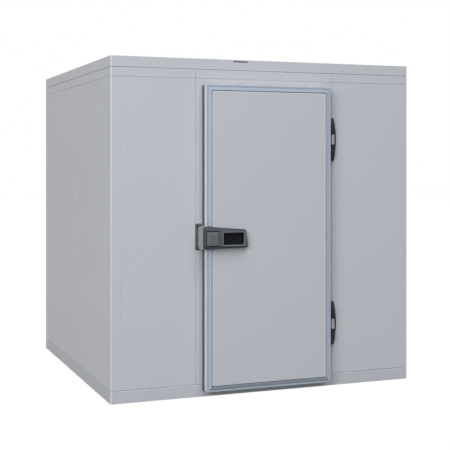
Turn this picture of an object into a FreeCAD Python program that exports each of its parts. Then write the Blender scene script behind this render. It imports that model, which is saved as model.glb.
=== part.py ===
import FreeCAD, Part
import os

import Sketcher

# Walk-in cold room of insulated sandwich panels with one hinged door, in millimetres.
# The origin is the middle of the footprint on the floor, the door faces -Y and +Z is up.

SIZES = [
    ("room_width", 2140),
    ("room_depth", 2140),
    ("floor_thick", 80),
    ("wall_height", 2050),
    ("ceiling_thick", 70),
    ("wall_thick", 70),
    ("corner_front_leg", 70),
    ("corner_side_leg", 125),
    ("corner_round", 10),
    ("seam_bevel", 2.2),
    ("rail_bevel", 3),
    ("tongue_reach", 12),
    ("tongue_start", 20),
    ("tongue_end", 50),
    ("tongue_taper", 3),
    ("tongue_slack", 0.5),
    ("crease_height", 1990),
    ("crease_width", 3),
    ("crease_depth", 2.4),
    ("first_seam", 565),
    ("second_seam", 1548),
    ("side_seam", 989),
    ("cable_slot_start", 831),
    ("cable_slot_width", 100),
    ("cable_slot_height", 7),
    ("cable_slot_drop", 8),
    ("cable_slot_depth", 14),
    ("door_middle", 1056),
    ("doorway_width", 800),
    ("doorway_height", 1900),
    ("lining_thick", 14),
    ("flange_width", 34),
    ("flange_thick", 3),
    ("head_flange_rise", 35),
    ("head_cover_rise", 85),
    ("sill_thick", 2),
    ("sill_drop", 30),
    ("leaf_width", 888),
    ("leaf_height", 1982),
    ("leaf_bottom", 43),
    ("leaf_stand_off", 86),
    ("leaf_thick", 70),
    ("leaf_corner", 9),
    ("edge_face", 34),
    ("edge_round", 1.5),
    ("edge_band", 10),
    ("edge_groove", 1.5),
    ("edge_groove_width", 2),
    ("edge_rise", 5),
    ("edge_wall", 3),
    ("edge_side", 43),
    ("edge_lip", 9),
    ("skin_gap", 4),
    ("skin_proud", 7),
    ("skin_round", 4),
    ("skin_corner", 6),
    ("carrier_inset", 4),
    ("carrier_width", 40),
    ("back_step", 2),
    ("gasket_inset", 16),
    ("gasket_width", 16),
    ("gasket_thick", 8),
    ("gasket_round", 3),
    ("hinge_axis_side", 36),
    ("hinge_axis_out", 36),
    ("upper_hinge_height", 1680),
    ("lower_hinge_height", 428),
    ("hinge_half_length", 146),
    ("hinge_plate_thick", 10),
    ("hinge_plate_left", 20),
    ("hinge_plate_tip", 22),
    ("hinge_plate_bow", 40),
    ("hinge_plate_corner", 6),
    ("hinge_pin_radius", 8),
    ("hinge_bore_radius", 8.08),
    ("knuckle_radius", 15),
    ("knuckle_half_height", 33),
    ("cap_half_length", 142),
    ("cap_gap", 1),
    ("cap_radius", 17),
    ("cap_swell", 19),
    ("cap_shoulder_radius", 15),
    ("cap_shoulder_height", 95),
    ("cap_shoulder_out", 13),
    ("cap_tip_radius", 9),
    ("cap_tip_out", 12),
    ("wing_thick", 8),
    ("wing_plate_thick", 4),
    ("wing_plate_reach", 38),
    ("latch_height", 1039),
    ("handle_left", 34),
    ("handle_right", 272),
    ("handle_slant", 17),
    ("handle_top", 76),
    ("handle_bottom", 73),
    ("handle_shoulder", 4),
    ("handle_bend", 60),
    ("handle_bend_top", 67),
    ("handle_bend_bottom", 68),
    ("handle_end_top", 51),
    ("handle_end_bottom", 66),
    ("handle_front", 48),
    ("handle_back", 14),
    ("handle_plate_thick", 10),
    ("handle_bevel", 6),
    ("handle_corner", 16),
    ("grip_left", 101),
    ("grip_right", 239),
    ("grip_top", 31),
    ("grip_bottom", 45),
    ("grip_depth", 27),
    ("grip_bevel", 4),
    ("pivot_left", 12),
    ("pivot_out", 24),
    ("pivot_radius", 14),
    ("pivot_half_height", 64),
    ("pivot_pin_radius", 5),
    ("pivot_bore_radius", 5.06),
    ("lug_radius", 9),
    ("lug_thick", 10),
    ("lock_well_left", 22),
    ("lock_well_right", 68),
    ("lock_well_bottom", 55),
    ("lock_well_top", 47),
    ("lock_well_depth", 5),
    ("lock_left", 15),
    ("lock_right", 65),
    ("lock_bottom", 49),
    ("lock_top", 39),
    ("lock_border", 9),
    ("lock_rise", 2),
    ("lock_step", 2),
    ("lock_bevel", 1.5),
    ("housing_left", 35),
    ("housing_right", 36),
    ("housing_plate", 8),
    ("housing_back", 73),
    ("housing_half_height", 75),
    ("housing_bow_start", 14),
    ("housing_bow_out", 52),
    ("housing_bow_drop", 8),
    ("housing_end_drop", 27),
    ("cheek_thick", 3),
    ("cheek_reach", 21),
    ("keeper_room_left", 25),
    ("keeper_room_width", 20),
    ("keeper_room_half_height", 42),
    ("keeper_room_depth", 44),
    ("strike_left", 50),
    ("strike_right", 6),
    ("strike_top", 88),
    ("strike_bottom", 85),
    ("strike_thick", 7),
    ("strike_bevel", 4),
    ("strike_corner", 5),
    ("strike_screw_height", 72),
    ("strike_screw_side", 34),
    ("strike_screw_radius", 7),
    ("strike_screw_depth", 4),
    ("keeper_left", 20),
    ("keeper_width", 10),
    ("keeper_half_height", 32),
    ("keeper_reach", 38),
    ("release_from_edge", 108),
    ("release_plate_radius", 34),
    ("release_plate_thick", 6),
    ("release_stem_radius", 8),
    ("release_stem_length", 26),
    ("release_knob_radius", 22),
    ("release_knob_length", 38),
]

document = FreeCAD.newDocument("cold_room")
sheet = document.addObject("Spreadsheet::Sheet", "sizes")
for row, (alias, size) in enumerate(SIZES, start=1):
    sheet.set("A%d" % row, alias)
    sheet.set("B%d" % row, str(size))
    sheet.setAlias("B%d" % row, alias)
document.recompute()

SNUG = 0.01
pieces = []


def sized(text):
    """Writes each size's name as the sheet's own cell, so that expressions stay short to read."""
    words = text
    for alias in sorted((name for name, size in SIZES), key=len, reverse=True):
        words = words.replace("$" + alias, "sizes." + alias)
    return words


def worth(text):
    """Works out an expression on the sheet as a plain number."""
    return float(sheet.evalExpression(sized(text)))


def new_piece(label):
    body = document.addObject("PartDesign::Body", label)
    body.Label = label
    pieces.append(body)
    return body


def place(body, x, y, z, turn=0.0, axis=(0, 0, 1)):
    body.Placement = FreeCAD.Placement(
        FreeCAD.Vector(0, 0, 0), FreeCAD.Rotation(FreeCAD.Vector(*axis), turn)
    )
    for direction, text in zip("xyz", (x, y, z)):
        body.setExpression("Placement.Base." + direction, sized(text))


def new_sketch(body, role, offset="0"):
    sketch = body.newObject("Sketcher::SketchObject", "Sketch")
    plane = [item for item in body.Origin.OriginFeatures if item.Role == role][0]
    sketch.AttachmentSupport = (plane, "")
    sketch.MapMode = "FlatFace"
    sketch.setExpression("AttachmentOffset.Base.z", sized(offset))
    return sketch


def tie_point(sketch, line, end, corner):
    """Holds one end of a line at its distances from the sketch's origin."""
    for kind, text in zip(("DistanceX", "DistanceY"), corner):
        limit = Sketcher.Constraint(kind, -1, 1, line, end, worth(text))
        number = sketch.addConstraint(limit)
        sketch.setExpression("Constraints[%d]" % number, sized(text))


def side_between(sketch, start, end, through):
    """Draws one side, bowed through a point where one is given; tells which ends are which."""
    if through is None:
        return sketch.addGeometry(Part.LineSegment(start, end), False), 1, 2
    number = sketch.addGeometry(Part.Arc(start, through, end), False)
    clockwise = (through - start).cross(end - through).z < 0
    return (number, 2, 1) if clockwise else (number, 1, 2)


def outline(sketch, corners):
    """Draws a closed outline. A corner is (x, y), or (x, y, x, y) where the side that
    leaves it bows through a second point."""
    count = len(corners)
    spots = [FreeCAD.Vector(worth(corner[0]), worth(corner[1]), 0) for corner in corners]
    sides = []
    for number, corner in enumerate(corners):
        through = None
        if len(corner) == 4:
            through = FreeCAD.Vector(worth(corner[2]), worth(corner[3]), 0)
        sides.append(side_between(sketch, spots[number], spots[(number + 1) % count], through))
    for number in range(count):
        side, first_end, last_end = sides[number]
        following, following_start, following_end = sides[(number + 1) % count]
        sketch.addConstraint(
            Sketcher.Constraint("Coincident", side, last_end, following, following_start)
        )
    for corner, (side, first_end, last_end) in zip(corners, sides):
        tie_point(sketch, side, first_end, corner[:2])
        if len(corner) == 4:
            through = FreeCAD.Vector(worth(corner[2]), worth(corner[3]), 0)
            mark = sketch.addGeometry(Part.Point(through), True)
            sketch.addConstraint(Sketcher.Constraint("PointOnObject", mark, 1, side))
            tie_point(sketch, mark, 1, corner[2:])


def rectangle(sketch, left, bottom, right, top):
    outline(sketch, [(left, bottom), (right, bottom), (right, top), (left, top)])


def circle(sketch, x, y, radius):
    middle = FreeCAD.Vector(worth(x), worth(y), 0)
    number = sketch.addGeometry(
        Part.Circle(middle, FreeCAD.Vector(0, 0, 1), worth(radius)), False
    )
    tie_point(sketch, number, 3, (x, y))
    limit = sketch.addConstraint(Sketcher.Constraint("Radius", number, worth(radius)))
    sketch.setExpression("Constraints[%d]" % limit, sized(radius))


def pad(body, sketch, length, reverse=False, both_ways=False):
    feature = body.newObject("PartDesign::Pad", "Pad")
    feature.Profile = sketch
    feature.setExpression("Length", sized(length))
    feature.Reversed = reverse
    feature.Midplane = both_ways
    document.recompute()
    return feature


def pocket(body, sketch, depth=None, reverse=False, both_ways=False):
    """Cuts a sketch out of the piece, right through both ways where no depth is given."""
    before = body.Shape.Volume
    feature = body.newObject("PartDesign::Pocket", "Pocket")
    feature.Profile = sketch
    if depth is None:
        feature.Type = "ThroughAll"
        feature.Midplane = True
    else:
        feature.setExpression("Length", sized(depth))
        feature.Reversed = reverse
        feature.Midplane = both_ways
    document.recompute()
    if body.Shape.Volume >= before - SNUG:
        raise RuntimeError("%s: %s cut nothing" % (body.Label, feature.Name))
    return feature


def edges_where(feature, test):
    """Names the edges whose middle and direction pass the test."""
    names = []
    for number, edge in enumerate(feature.Shape.Edges, start=1):
        ends = edge.Vertexes
        if len(ends) < 2:
            continue
        run = ends[1].Point - ends[0].Point
        middle = edge.valueAt((edge.FirstParameter + edge.LastParameter) / 2)
        if test(middle, run):
            names.append("Edge%d" % number)
    if not names:
        raise RuntimeError("no edge passes the test")
    return names


def upright(run):
    return abs(run.x) < SNUG and abs(run.y) < SNUG


def fillet(body, base, test, radius):
    feature = body.newObject("PartDesign::Fillet", "Fillet")
    feature.Base = (base, edges_where(base, test))
    feature.setExpression("Radius", sized(radius))
    document.recompute()
    return feature


def chamfer(body, base, test, size):
    feature = body.newObject("PartDesign::Chamfer", "Chamfer")
    feature.Base = (base, edges_where(base, test))
    feature.setExpression("Size", sized(size))
    document.recompute()
    return feature


def near(value, text):
    return abs(value - worth(text)) < SNUG


# Panel edges: each panel has a groove at its left and a tongue at its right, seen from outside

def tongue(at):
    """The tongue's corners on a panel whose right edge is at a given distance."""
    return [
        (at, "$tongue_start"),
        (at + " + $tongue_reach", "$tongue_start + $tongue_taper"),
        (at + " + $tongue_reach", "$tongue_end - $tongue_taper"),
        (at, "$tongue_end"),
    ]


def groove():
    """The groove's corners, a little wider than the tongue that goes into it."""
    floor_of_groove = "$tongue_reach + $tongue_slack"
    return [
        ("0", "$tongue_end + $tongue_slack"),
        (floor_of_groove, "$tongue_end - $tongue_taper + $tongue_slack"),
        (floor_of_groove, "$tongue_start + $tongue_taper - $tongue_slack"),
        ("0", "$tongue_start - $tongue_slack"),
    ]


def crease(body, role):
    """The fold line that runs round the skins a little under the ceiling."""
    sketch = new_sketch(body, role)
    rectangle(
        sketch,
        "-$crease_depth",
        "$crease_height",
        "$crease_depth",
        "$crease_height + $crease_width",
    )
    return pocket(body, sketch)


def wall_panel(label, width, spot, turn, left_joint=True, right_joint=True):
    """A standing sandwich panel: its plan is padded up, then its rail edges are bevelled."""
    body = new_piece(label)
    sketch = new_sketch(body, "XY_Plane")
    if left_joint:
        corners = [("0", "$seam_bevel"), ("$seam_bevel", "0")]
    else:
        corners = [("0", "0")]
    if right_joint:
        corners += [(width + " - $seam_bevel", "0"), (width, "$seam_bevel")] + tongue(width)
    else:
        corners += [(width, "0")]
    corners += [(width, "$wall_thick"), ("0", "$wall_thick")]
    if left_joint:
        corners += groove()
    outline(sketch, corners)
    shape = pad(body, sketch, "$wall_height")
    shape = chamfer(
        body,
        shape,
        lambda middle, run: abs(middle.y) < SNUG and abs(run.z) < SNUG,
        "$rail_bevel",
    )
    crease(body, "YZ_Plane")
    place(body, *spot, turn)
    return body


def corner_post(label, leg, other_leg, spot, turn):
    """A corner panel with a rounded outer edge, a tongue on one side and a groove on the other."""
    body = new_piece(label)
    sketch = new_sketch(body, "XY_Plane")
    floor_of_groove = other_leg + " - $tongue_reach - $tongue_slack"
    corners = [("0", "0"), (leg + " - $seam_bevel", "0"), (leg, "$seam_bevel")]
    corners += tongue(leg)
    corners += [
        (leg, other_leg),
        ("$tongue_end + $tongue_slack", other_leg),
        ("$tongue_end - $tongue_taper + $tongue_slack", floor_of_groove),
        ("$tongue_start + $tongue_taper - $tongue_slack", floor_of_groove),
        ("$tongue_start - $tongue_slack", other_leg),
        ("$seam_bevel", other_leg),
        ("0", other_leg + " - $seam_bevel"),
    ]
    outline(sketch, corners)
    shape = pad(body, sketch, "$wall_height")
    shape = fillet(
        body,
        shape,
        lambda middle, run: abs(middle.x) < SNUG and abs(middle.y) < SNUG and upright(run),
        "$corner_round",
    )
    chamfer(
        body,
        shape,
        lambda middle, run: abs(run.z) < SNUG
        and min(middle.x, middle.y) < worth("$corner_round / 2")
        and (abs(middle.x) < SNUG or abs(middle.y) < SNUG or run.x * run.y < -SNUG),
        "$rail_bevel",
    )
    crease(body, "YZ_Plane")
    crease(body, "XZ_Plane")
    place(body, *spot, turn)
    return body


LEFT = "-$room_width / 2"
RIGHT = "$room_width / 2"
FRONT = "-$room_depth / 2"
BACK = "$room_depth / 2"
WALL_FOOT = "$floor_thick"
OPENING_HALF = "($doorway_width / 2 + $lining_thick)"
DOOR_MIDDLE = LEFT + " + $door_middle"

corner_post(
    "corner_front_left", "$corner_front_leg", "$corner_side_leg", (LEFT, FRONT, WALL_FOOT), 0
)
corner_post(
    "corner_front_right", "$corner_side_leg", "$corner_front_leg", (RIGHT, FRONT, WALL_FOOT), 90
)
corner_post(
    "corner_back_right", "$corner_front_leg", "$corner_side_leg", (RIGHT, BACK, WALL_FOOT), 180
)
corner_post(
    "corner_back_left", "$corner_side_leg", "$corner_front_leg", (LEFT, BACK, WALL_FOOT), 270
)

LEFT_PANEL = "($first_seam - $corner_front_leg)"
DOOR_PANEL = "($second_seam - $first_seam)"
RIGHT_PANEL = "($room_width - $corner_front_leg - $second_seam)"
DOOR_CUT = "($door_middle - " + OPENING_HALF + " - $first_seam)"
DOOR_REST = "($second_seam - $door_middle - " + OPENING_HALF + ")"

wall_panel("front_panel_left", LEFT_PANEL, (LEFT + " + $corner_front_leg", FRONT, WALL_FOOT), 0)
wall_panel(
    "door_panel_left",
    DOOR_CUT,
    (LEFT + " + $first_seam", FRONT, WALL_FOOT),
    0,
    right_joint=False,
)
wall_panel(
    "door_panel_right",
    DOOR_REST,
    (LEFT + " + $door_middle + " + OPENING_HALF, FRONT, WALL_FOOT),
    0,
    left_joint=False,
)
wall_panel("front_panel_right", RIGHT_PANEL, (LEFT + " + $second_seam", FRONT, WALL_FOOT), 0)

SIDE_NEAR = "($side_seam - $corner_side_leg)"
SIDE_FAR = "($room_depth - $corner_side_leg - $side_seam)"
wall_panel("left_panel_front", SIDE_NEAR, (LEFT, FRONT + " + $side_seam", WALL_FOOT), 270)
wall_panel("left_panel_back", SIDE_FAR, (LEFT, BACK + " - $corner_side_leg", WALL_FOOT), 270)
wall_panel("right_panel_front", SIDE_NEAR, (RIGHT, FRONT + " + $corner_side_leg", WALL_FOOT), 90)
wall_panel("right_panel_back", SIDE_FAR, (RIGHT, FRONT + " + $side_seam", WALL_FOOT), 90)

wall_panel("back_panel_right", RIGHT_PANEL, (RIGHT + " - $corner_front_leg", BACK, WALL_FOOT), 180)
wall_panel("back_panel_middle", DOOR_PANEL, (LEFT + " + $second_seam", BACK, WALL_FOOT), 180)
wall_panel("back_panel_left", LEFT_PANEL, (LEFT + " + $first_seam", BACK, WALL_FOOT), 180)


def door_panel_head():
    """The piece of the door panel that bridges the doorway."""
    body = new_piece("door_panel_head")
    sketch = new_sketch(body, "XZ_Plane")
    head_foot = "$floor_thick + $doorway_height + $lining_thick"
    rectangle(
        sketch, "-" + OPENING_HALF, head_foot, OPENING_HALF, "$floor_thick + $wall_height"
    )
    shape = pad(body, sketch, "$wall_thick", reverse=True)
    chamfer(
        body,
        shape,
        lambda middle, run: abs(middle.y) < SNUG and near(middle.z, "$floor_thick + $wall_height"),
        "$rail_bevel",
    )
    sketch = new_sketch(body, "YZ_Plane")
    line = "$floor_thick + $crease_height"
    rectangle(sketch, "-$crease_depth", line, "$crease_depth", line + " + $crease_width")
    pocket(body, sketch)
    place(body, DOOR_MIDDLE, FRONT, "0")


door_panel_head()


def floor_panel(label, outer, seam_corners):
    """Half of the floor: one long edge joins the other half under the doorway's middle."""
    body = new_piece(label)
    sketch = new_sketch(body, "XZ_Plane")
    top = "$floor_thick"
    corners = [(outer, "0"), (DOOR_MIDDLE, "0")]
    corners += seam_corners
    corners += [(DOOR_MIDDLE, top), (outer, top)]
    outline(sketch, corners)
    shape = pad(body, sketch, "$room_depth", both_ways=True)
    shape = fillet(
        body,
        shape,
        lambda middle, run: near(middle.x, outer) and upright(run),
        "$corner_round",
    )
    chamfer(
        body,
        shape,
        lambda middle, run: near(middle.z, top)
        and (near(middle.x, outer) or near(abs(middle.y), "$room_depth / 2")),
        "$rail_bevel",
    )
    place(body, "0", "0", "0")


def floor_seam(slack):
    """The tongue in the floor's middle seam, or with some slack the groove round it."""
    reach = DOOR_MIDDLE + " + $tongue_reach + " + slack
    return [
        (DOOR_MIDDLE, "$tongue_start - " + slack),
        (reach, "$tongue_start + $tongue_taper - " + slack),
        (reach, "$tongue_end - $tongue_taper + " + slack),
        (DOOR_MIDDLE, "$tongue_end + " + slack),
    ]


floor_panel("floor_panel_left", LEFT, floor_seam("0"))
floor_panel("floor_panel_right", RIGHT, floor_seam("$tongue_slack"))


def ceiling_panel(label, front_half):
    """A ceiling panel across the room, its long edge joined to the other one."""
    body = new_piece(label)
    sketch = new_sketch(body, "YZ_Plane")
    under = "0"
    top = "$ceiling_thick"
    seam = FRONT + " + $side_seam"
    reach = " + $tongue_reach"
    if front_half:
        corners = [
            (FRONT, under),
            (seam, under),
            (seam, "$tongue_start"),
            (seam + reach, "$tongue_start + $tongue_taper"),
            (seam + reach, "$tongue_end - $tongue_taper"),
            (seam, "$tongue_end"),
            (seam, top),
            (FRONT, top),
        ]
    else:
        reach += " + $tongue_slack"
        corners = [
            (seam, under),
            (BACK, under),
            (BACK, top),
            (seam, top),
            (seam, "$tongue_end + $tongue_slack"),
            (seam + reach, "$tongue_end - $tongue_taper + $tongue_slack"),
            (seam + reach, "$tongue_start + $tongue_taper - $tongue_slack"),
            (seam, "$tongue_start - $tongue_slack"),
        ]
    outline(sketch, corners)
    shape = pad(body, sketch, "$room_width", both_ways=True)
    outer = FRONT if front_half else BACK
    shape = fillet(
        body,
        shape,
        lambda middle, run: near(middle.y, outer) and upright(run),
        "$corner_round",
    )
    shape = chamfer(
        body,
        shape,
        lambda middle, run: abs(middle.z) < SNUG
        and (near(abs(middle.x), "$room_width / 2") or near(middle.y, outer)),
        "$rail_bevel",
    )
    if front_half:
        sketch = new_sketch(body, "XZ_Plane", "$room_depth / 2")
        slot_left = LEFT + " + $cable_slot_start"
        slot_top = "$ceiling_thick - $cable_slot_drop"
        rectangle(
            sketch,
            slot_left,
            slot_top + " - $cable_slot_height",
            slot_left + " + $cable_slot_width",
            slot_top,
        )
        pocket(body, sketch, "$cable_slot_depth")
    place(body, "0", "0", "$floor_thick + $wall_height")


ceiling_panel("ceiling_panel_front", True)
ceiling_panel("ceiling_panel_back", False)


# Door frame: a plastic lining round the doorway with a flange on the outer wall

def frame_side(label, mirror):
    """An upright of the frame: the lining in the cut-out and the flange over the wall."""
    body = new_piece(label)
    sketch = new_sketch(body, "XY_Plane")
    out = "-1 * " if mirror else ""
    corners = [
        (out + "($doorway_width / 2)", "-$flange_thick"),
        (out + "($doorway_width / 2 + $flange_width)", "-$flange_thick"),
        (out + "($doorway_width / 2 + $flange_width)", "0"),
        (out + "($doorway_width / 2 + $lining_thick)", "0"),
        (out + "($doorway_width / 2 + $lining_thick)", "$wall_thick"),
        (out + "($doorway_width / 2)", "$wall_thick"),
    ]
    outline(sketch, corners)
    pad(body, sketch, "$doorway_height")
    place(body, DOOR_MIDDLE, FRONT, WALL_FOOT)


frame_side("door_frame_left", True)
frame_side("door_frame_right", False)


def frame_head():
    """The frame's top, with a cover strip that reaches up behind the leaf's top edge."""
    body = new_piece("door_frame_head")
    sketch = new_sketch(body, "XZ_Plane")
    wide = "($doorway_width / 2 + $flange_width)"
    narrow = OPENING_HALF
    outline(
        sketch,
        [
            ("-" + wide, "0"),
            (wide, "0"),
            (wide, "$head_flange_rise"),
            (narrow, "$head_flange_rise"),
            (narrow, "$head_cover_rise"),
            ("-" + narrow, "$head_cover_rise"),
            ("-" + narrow, "$head_flange_rise"),
            ("-" + wide, "$head_flange_rise"),
        ],
    )
    pad(body, sketch, "$flange_thick")
    sketch = new_sketch(body, "XZ_Plane")
    rectangle(sketch, "-" + narrow, "0", narrow, "$lining_thick")
    pad(body, sketch, "$wall_thick", reverse=True)
    place(body, DOOR_MIDDLE, FRONT, "$floor_thick + $doorway_height")


frame_head()


def door_sill():
    """A folded stainless threshold: a tread on the floor and a leg over its front edge."""
    body = new_piece("door_sill")
    sketch = new_sketch(body, "YZ_Plane")
    outline(
        sketch,
        [
            ("-$flange_thick", "-$sill_drop"),
            ("0", "-$sill_drop"),
            ("0", "0"),
            ("$wall_thick", "0"),
            ("$wall_thick", "$sill_thick"),
            ("-$flange_thick", "$sill_thick"),
        ],
    )
    pad(body, sketch, "$doorway_width", both_ways=True)
    place(body, DOOR_MIDDLE, FRONT, WALL_FOOT)


door_sill()


# Door leaf: a foamed slab with a proud outer skin, an aluminium edge and a seal carrier

LEAF_LEFT = DOOR_MIDDLE + " - $leaf_width / 2"
LEAF_FRONT = FRONT + " - $leaf_stand_off"


def door_leaf():
    """The foamed slab in three steps: the middle, the outer skin and the inner skin."""
    body = new_piece("door_leaf")
    sketch = new_sketch(body, "XZ_Plane", "-$edge_side")
    inset = "$edge_wall"
    rectangle(sketch, inset, inset, "$leaf_width - " + inset, "$leaf_height - " + inset)
    pad(body, sketch, "$edge_side - $edge_lip")
    inset = "($edge_face + $skin_gap)"
    sketch = new_sketch(body, "XZ_Plane", "-$edge_lip")
    rectangle(sketch, inset, inset, "$leaf_width - " + inset, "$leaf_height - " + inset)
    shape = pad(body, sketch, "$edge_lip + $skin_proud")
    shape = fillet(
        body,
        shape,
        lambda middle, run: near(middle.y, "($edge_lip - $skin_proud) / 2"),
        "$skin_corner",
    )
    fillet(
        body,
        shape,
        lambda middle, run: near(middle.y, "-$skin_proud"),
        "$skin_round",
    )
    inset = "($carrier_inset + $carrier_width)"
    sketch = new_sketch(body, "XZ_Plane", "-$edge_side")
    rectangle(sketch, inset, inset, "$leaf_width - " + inset, "$leaf_height - " + inset)
    pad(body, sketch, "$leaf_thick - $edge_side - $back_step", reverse=True)
    place(body, LEAF_LEFT, LEAF_FRONT, "$leaf_bottom")


door_leaf()


def leaf_edge(label, length, spot, turn):
    """One extruded edge of the leaf, mitred at both ends. Its face has a flat outer band, a
    shallow groove and a slope that rises to a lip beside the skin."""
    body = new_piece(label)
    sketch = new_sketch(body, "XY_Plane")
    outline(
        sketch,
        [
            ("0", "$edge_round"),
            ("$edge_round", "0"),
            ("$edge_band", "$edge_groove / 2"),
            ("$edge_band + $edge_groove_width / 2", "$edge_groove"),
            ("$edge_band + $edge_groove_width", "0"),
            ("$edge_face - $edge_round", "-$edge_rise"),
            ("$edge_face", "-$edge_rise + $edge_round"),
            ("$edge_face", "$edge_lip"),
            ("$edge_face - $edge_wall", "$edge_lip"),
            ("$edge_face - $edge_wall", "$edge_wall - $edge_rise"),
            ("$edge_band + $edge_groove_width", "$edge_wall + $edge_groove"),
            ("$edge_wall", "$edge_wall + $edge_groove"),
            ("$edge_wall", "$edge_side"),
            ("0", "$edge_side"),
        ],
    )
    pad(body, sketch, length)
    far = "($edge_face * 2)"
    beyond = "-$leaf_corner"
    meeting = "($leaf_corner * (1 - cos(45)))"
    bow_in = "($leaf_corner * (1 - cos(22.5)))"
    bow_along = "($leaf_corner * (1 - sin(22.5)))"
    sketch = new_sketch(body, "XZ_Plane")
    outline(
        sketch,
        [
            ("0", "$leaf_corner", bow_in, bow_along),
            (meeting, meeting),
            (far, far),
            (far, "-" + far),
            (beyond, "-" + far),
            (beyond, "$leaf_corner"),
        ],
    )
    pocket(body, sketch)
    sketch = new_sketch(body, "XZ_Plane")
    outline(
        sketch,
        [
            ("0", length + " - $leaf_corner", bow_in, length + " - " + bow_along),
            (meeting, length + " - " + meeting),
            (far, length + " - " + far),
            (far, length + " + " + far),
            (beyond, length + " + " + far),
            (beyond, length + " - $leaf_corner"),
        ],
    )
    pocket(body, sketch)
    place(body, *spot, turn, (0, 1, 0))


LEAF_RIGHT = LEAF_LEFT + " + $leaf_width"
LEAF_TOP = "$leaf_bottom + $leaf_height"
leaf_edge("leaf_edge_left", "$leaf_height", (LEAF_LEFT, LEAF_FRONT, "$leaf_bottom"), 0)
leaf_edge("leaf_edge_top", "$leaf_width", (LEAF_LEFT, LEAF_FRONT, LEAF_TOP), 90)
leaf_edge("leaf_edge_right", "$leaf_height", (LEAF_RIGHT, LEAF_FRONT, LEAF_TOP), 180)
leaf_edge("leaf_edge_bottom", "$leaf_width", (LEAF_RIGHT, LEAF_FRONT, "$leaf_bottom"), 270)


def leaf_ring(label, inset, width, near_face, thickness):
    """A rectangular ring on the back of the leaf."""
    body = new_piece(label)
    sketch = new_sketch(body, "XZ_Plane", "-(" + near_face + ")")
    for step in (inset, inset + " + " + width):
        rectangle(
            sketch,
            step,
            step,
            "$leaf_width - (" + step + ")",
            "$leaf_height - (" + step + ")",
        )
    shape = pad(body, sketch, thickness, reverse=True)
    place(body, LEAF_LEFT, LEAF_FRONT, "$leaf_bottom")
    return body, shape


leaf_ring(
    "seal_carrier", "$carrier_inset", "$carrier_width", "$edge_side", "$leaf_thick - $edge_side"
)
gasket, gasket_block = leaf_ring(
    "door_gasket", "$gasket_inset", "$gasket_width", "$leaf_thick", "$gasket_thick"
)
fillet(
    gasket,
    gasket_block,
    lambda middle, run: near(middle.y, "$leaf_thick + $gasket_thick"),
    "$gasket_round",
)


# Hinges: a moulded base with a pin on the wall, and a metal knuckle on the leaf

HINGE_X = LEAF_RIGHT + " + $hinge_axis_side"
HINGE_Y = FRONT + " - $hinge_axis_out"
CAP_START = "($knuckle_half_height + $cap_gap)"


def hinge_section(sketch):
    """The cap's section: a round nose over the pin, with straight sides back to the wall."""
    back = "$hinge_axis_out - $hinge_plate_thick / 2"
    outline(
        sketch,
        [
            ("-$cap_radius", "0", "0", "-$cap_radius"),
            ("$cap_radius", "0"),
            ("$cap_radius", back),
            ("-$cap_radius", back),
        ],
    )


def silhouette_cuts(body, role, near_edge, shoulder, tip, beyond, side):
    """Trims both ends of the hinge to a bowed silhouette, seen along one axis."""
    sketch = new_sketch(body, role)
    for end in ("", "-1 * "):
        outline(
            sketch,
            [
                (side + near_edge, end + CAP_START, side + shoulder, end + "$cap_shoulder_height"),
                (side + tip, end + "$cap_half_length"),
                (side + tip, end + "$hinge_half_length"),
                (side + beyond, end + "$hinge_half_length"),
                (side + beyond, end + CAP_START),
            ],
        )
    pocket(body, sketch)


def hinge_base(label, height):
    """The wall's half of a hinge: a bowed plate, a cover over each end of the pin and the pin."""
    body = new_piece(label)
    sketch = new_sketch(body, "XY_Plane")
    hinge_section(sketch)
    pad(body, sketch, "2 * $cap_half_length", both_ways=True)
    silhouette_cuts(
        body,
        "YZ_Plane",
        "-$cap_swell",
        "-$cap_shoulder_out",
        "$cap_tip_out",
        "-$hinge_axis_out",
        "",
    )
    for side in ("", "-1 * "):
        silhouette_cuts(
            body,
            "XZ_Plane",
            "$cap_swell",
            "$cap_shoulder_radius",
            "$cap_tip_radius",
            "$hinge_axis_out",
            side,
        )
    sketch = new_sketch(body, "XZ_Plane", "-($hinge_axis_out - $hinge_plate_thick)")
    tall = "$hinge_half_length"
    outline(
        sketch,
        [
            ("$hinge_plate_tip", "-" + tall, "$hinge_plate_bow", "0"),
            ("$hinge_plate_tip", tall),
            ("-$hinge_plate_left", tall),
            ("-$hinge_plate_left", "-" + tall),
        ],
    )
    shape = pad(body, sketch, "$hinge_plate_thick", reverse=True)
    fillet(
        body,
        shape,
        lambda middle, run: near(middle.x, "$hinge_plate_tip")
        and abs(middle.z) > worth("$cap_half_length")
        and abs(run.y) > SNUG,
        "$hinge_plate_corner",
    )
    sketch = new_sketch(body, "XY_Plane")
    wide = "$hinge_axis_side"
    rectangle(sketch, "-" + wide, "-" + wide, wide, "$hinge_axis_out - $hinge_plate_thick")
    pocket(body, sketch, "2 * " + CAP_START, both_ways=True)
    sketch = new_sketch(body, "XY_Plane")
    circle(sketch, "0", "0", "$hinge_pin_radius")
    pad(body, sketch, "2 * " + CAP_START, both_ways=True)
    place(body, HINGE_X, HINGE_Y, height)


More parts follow.
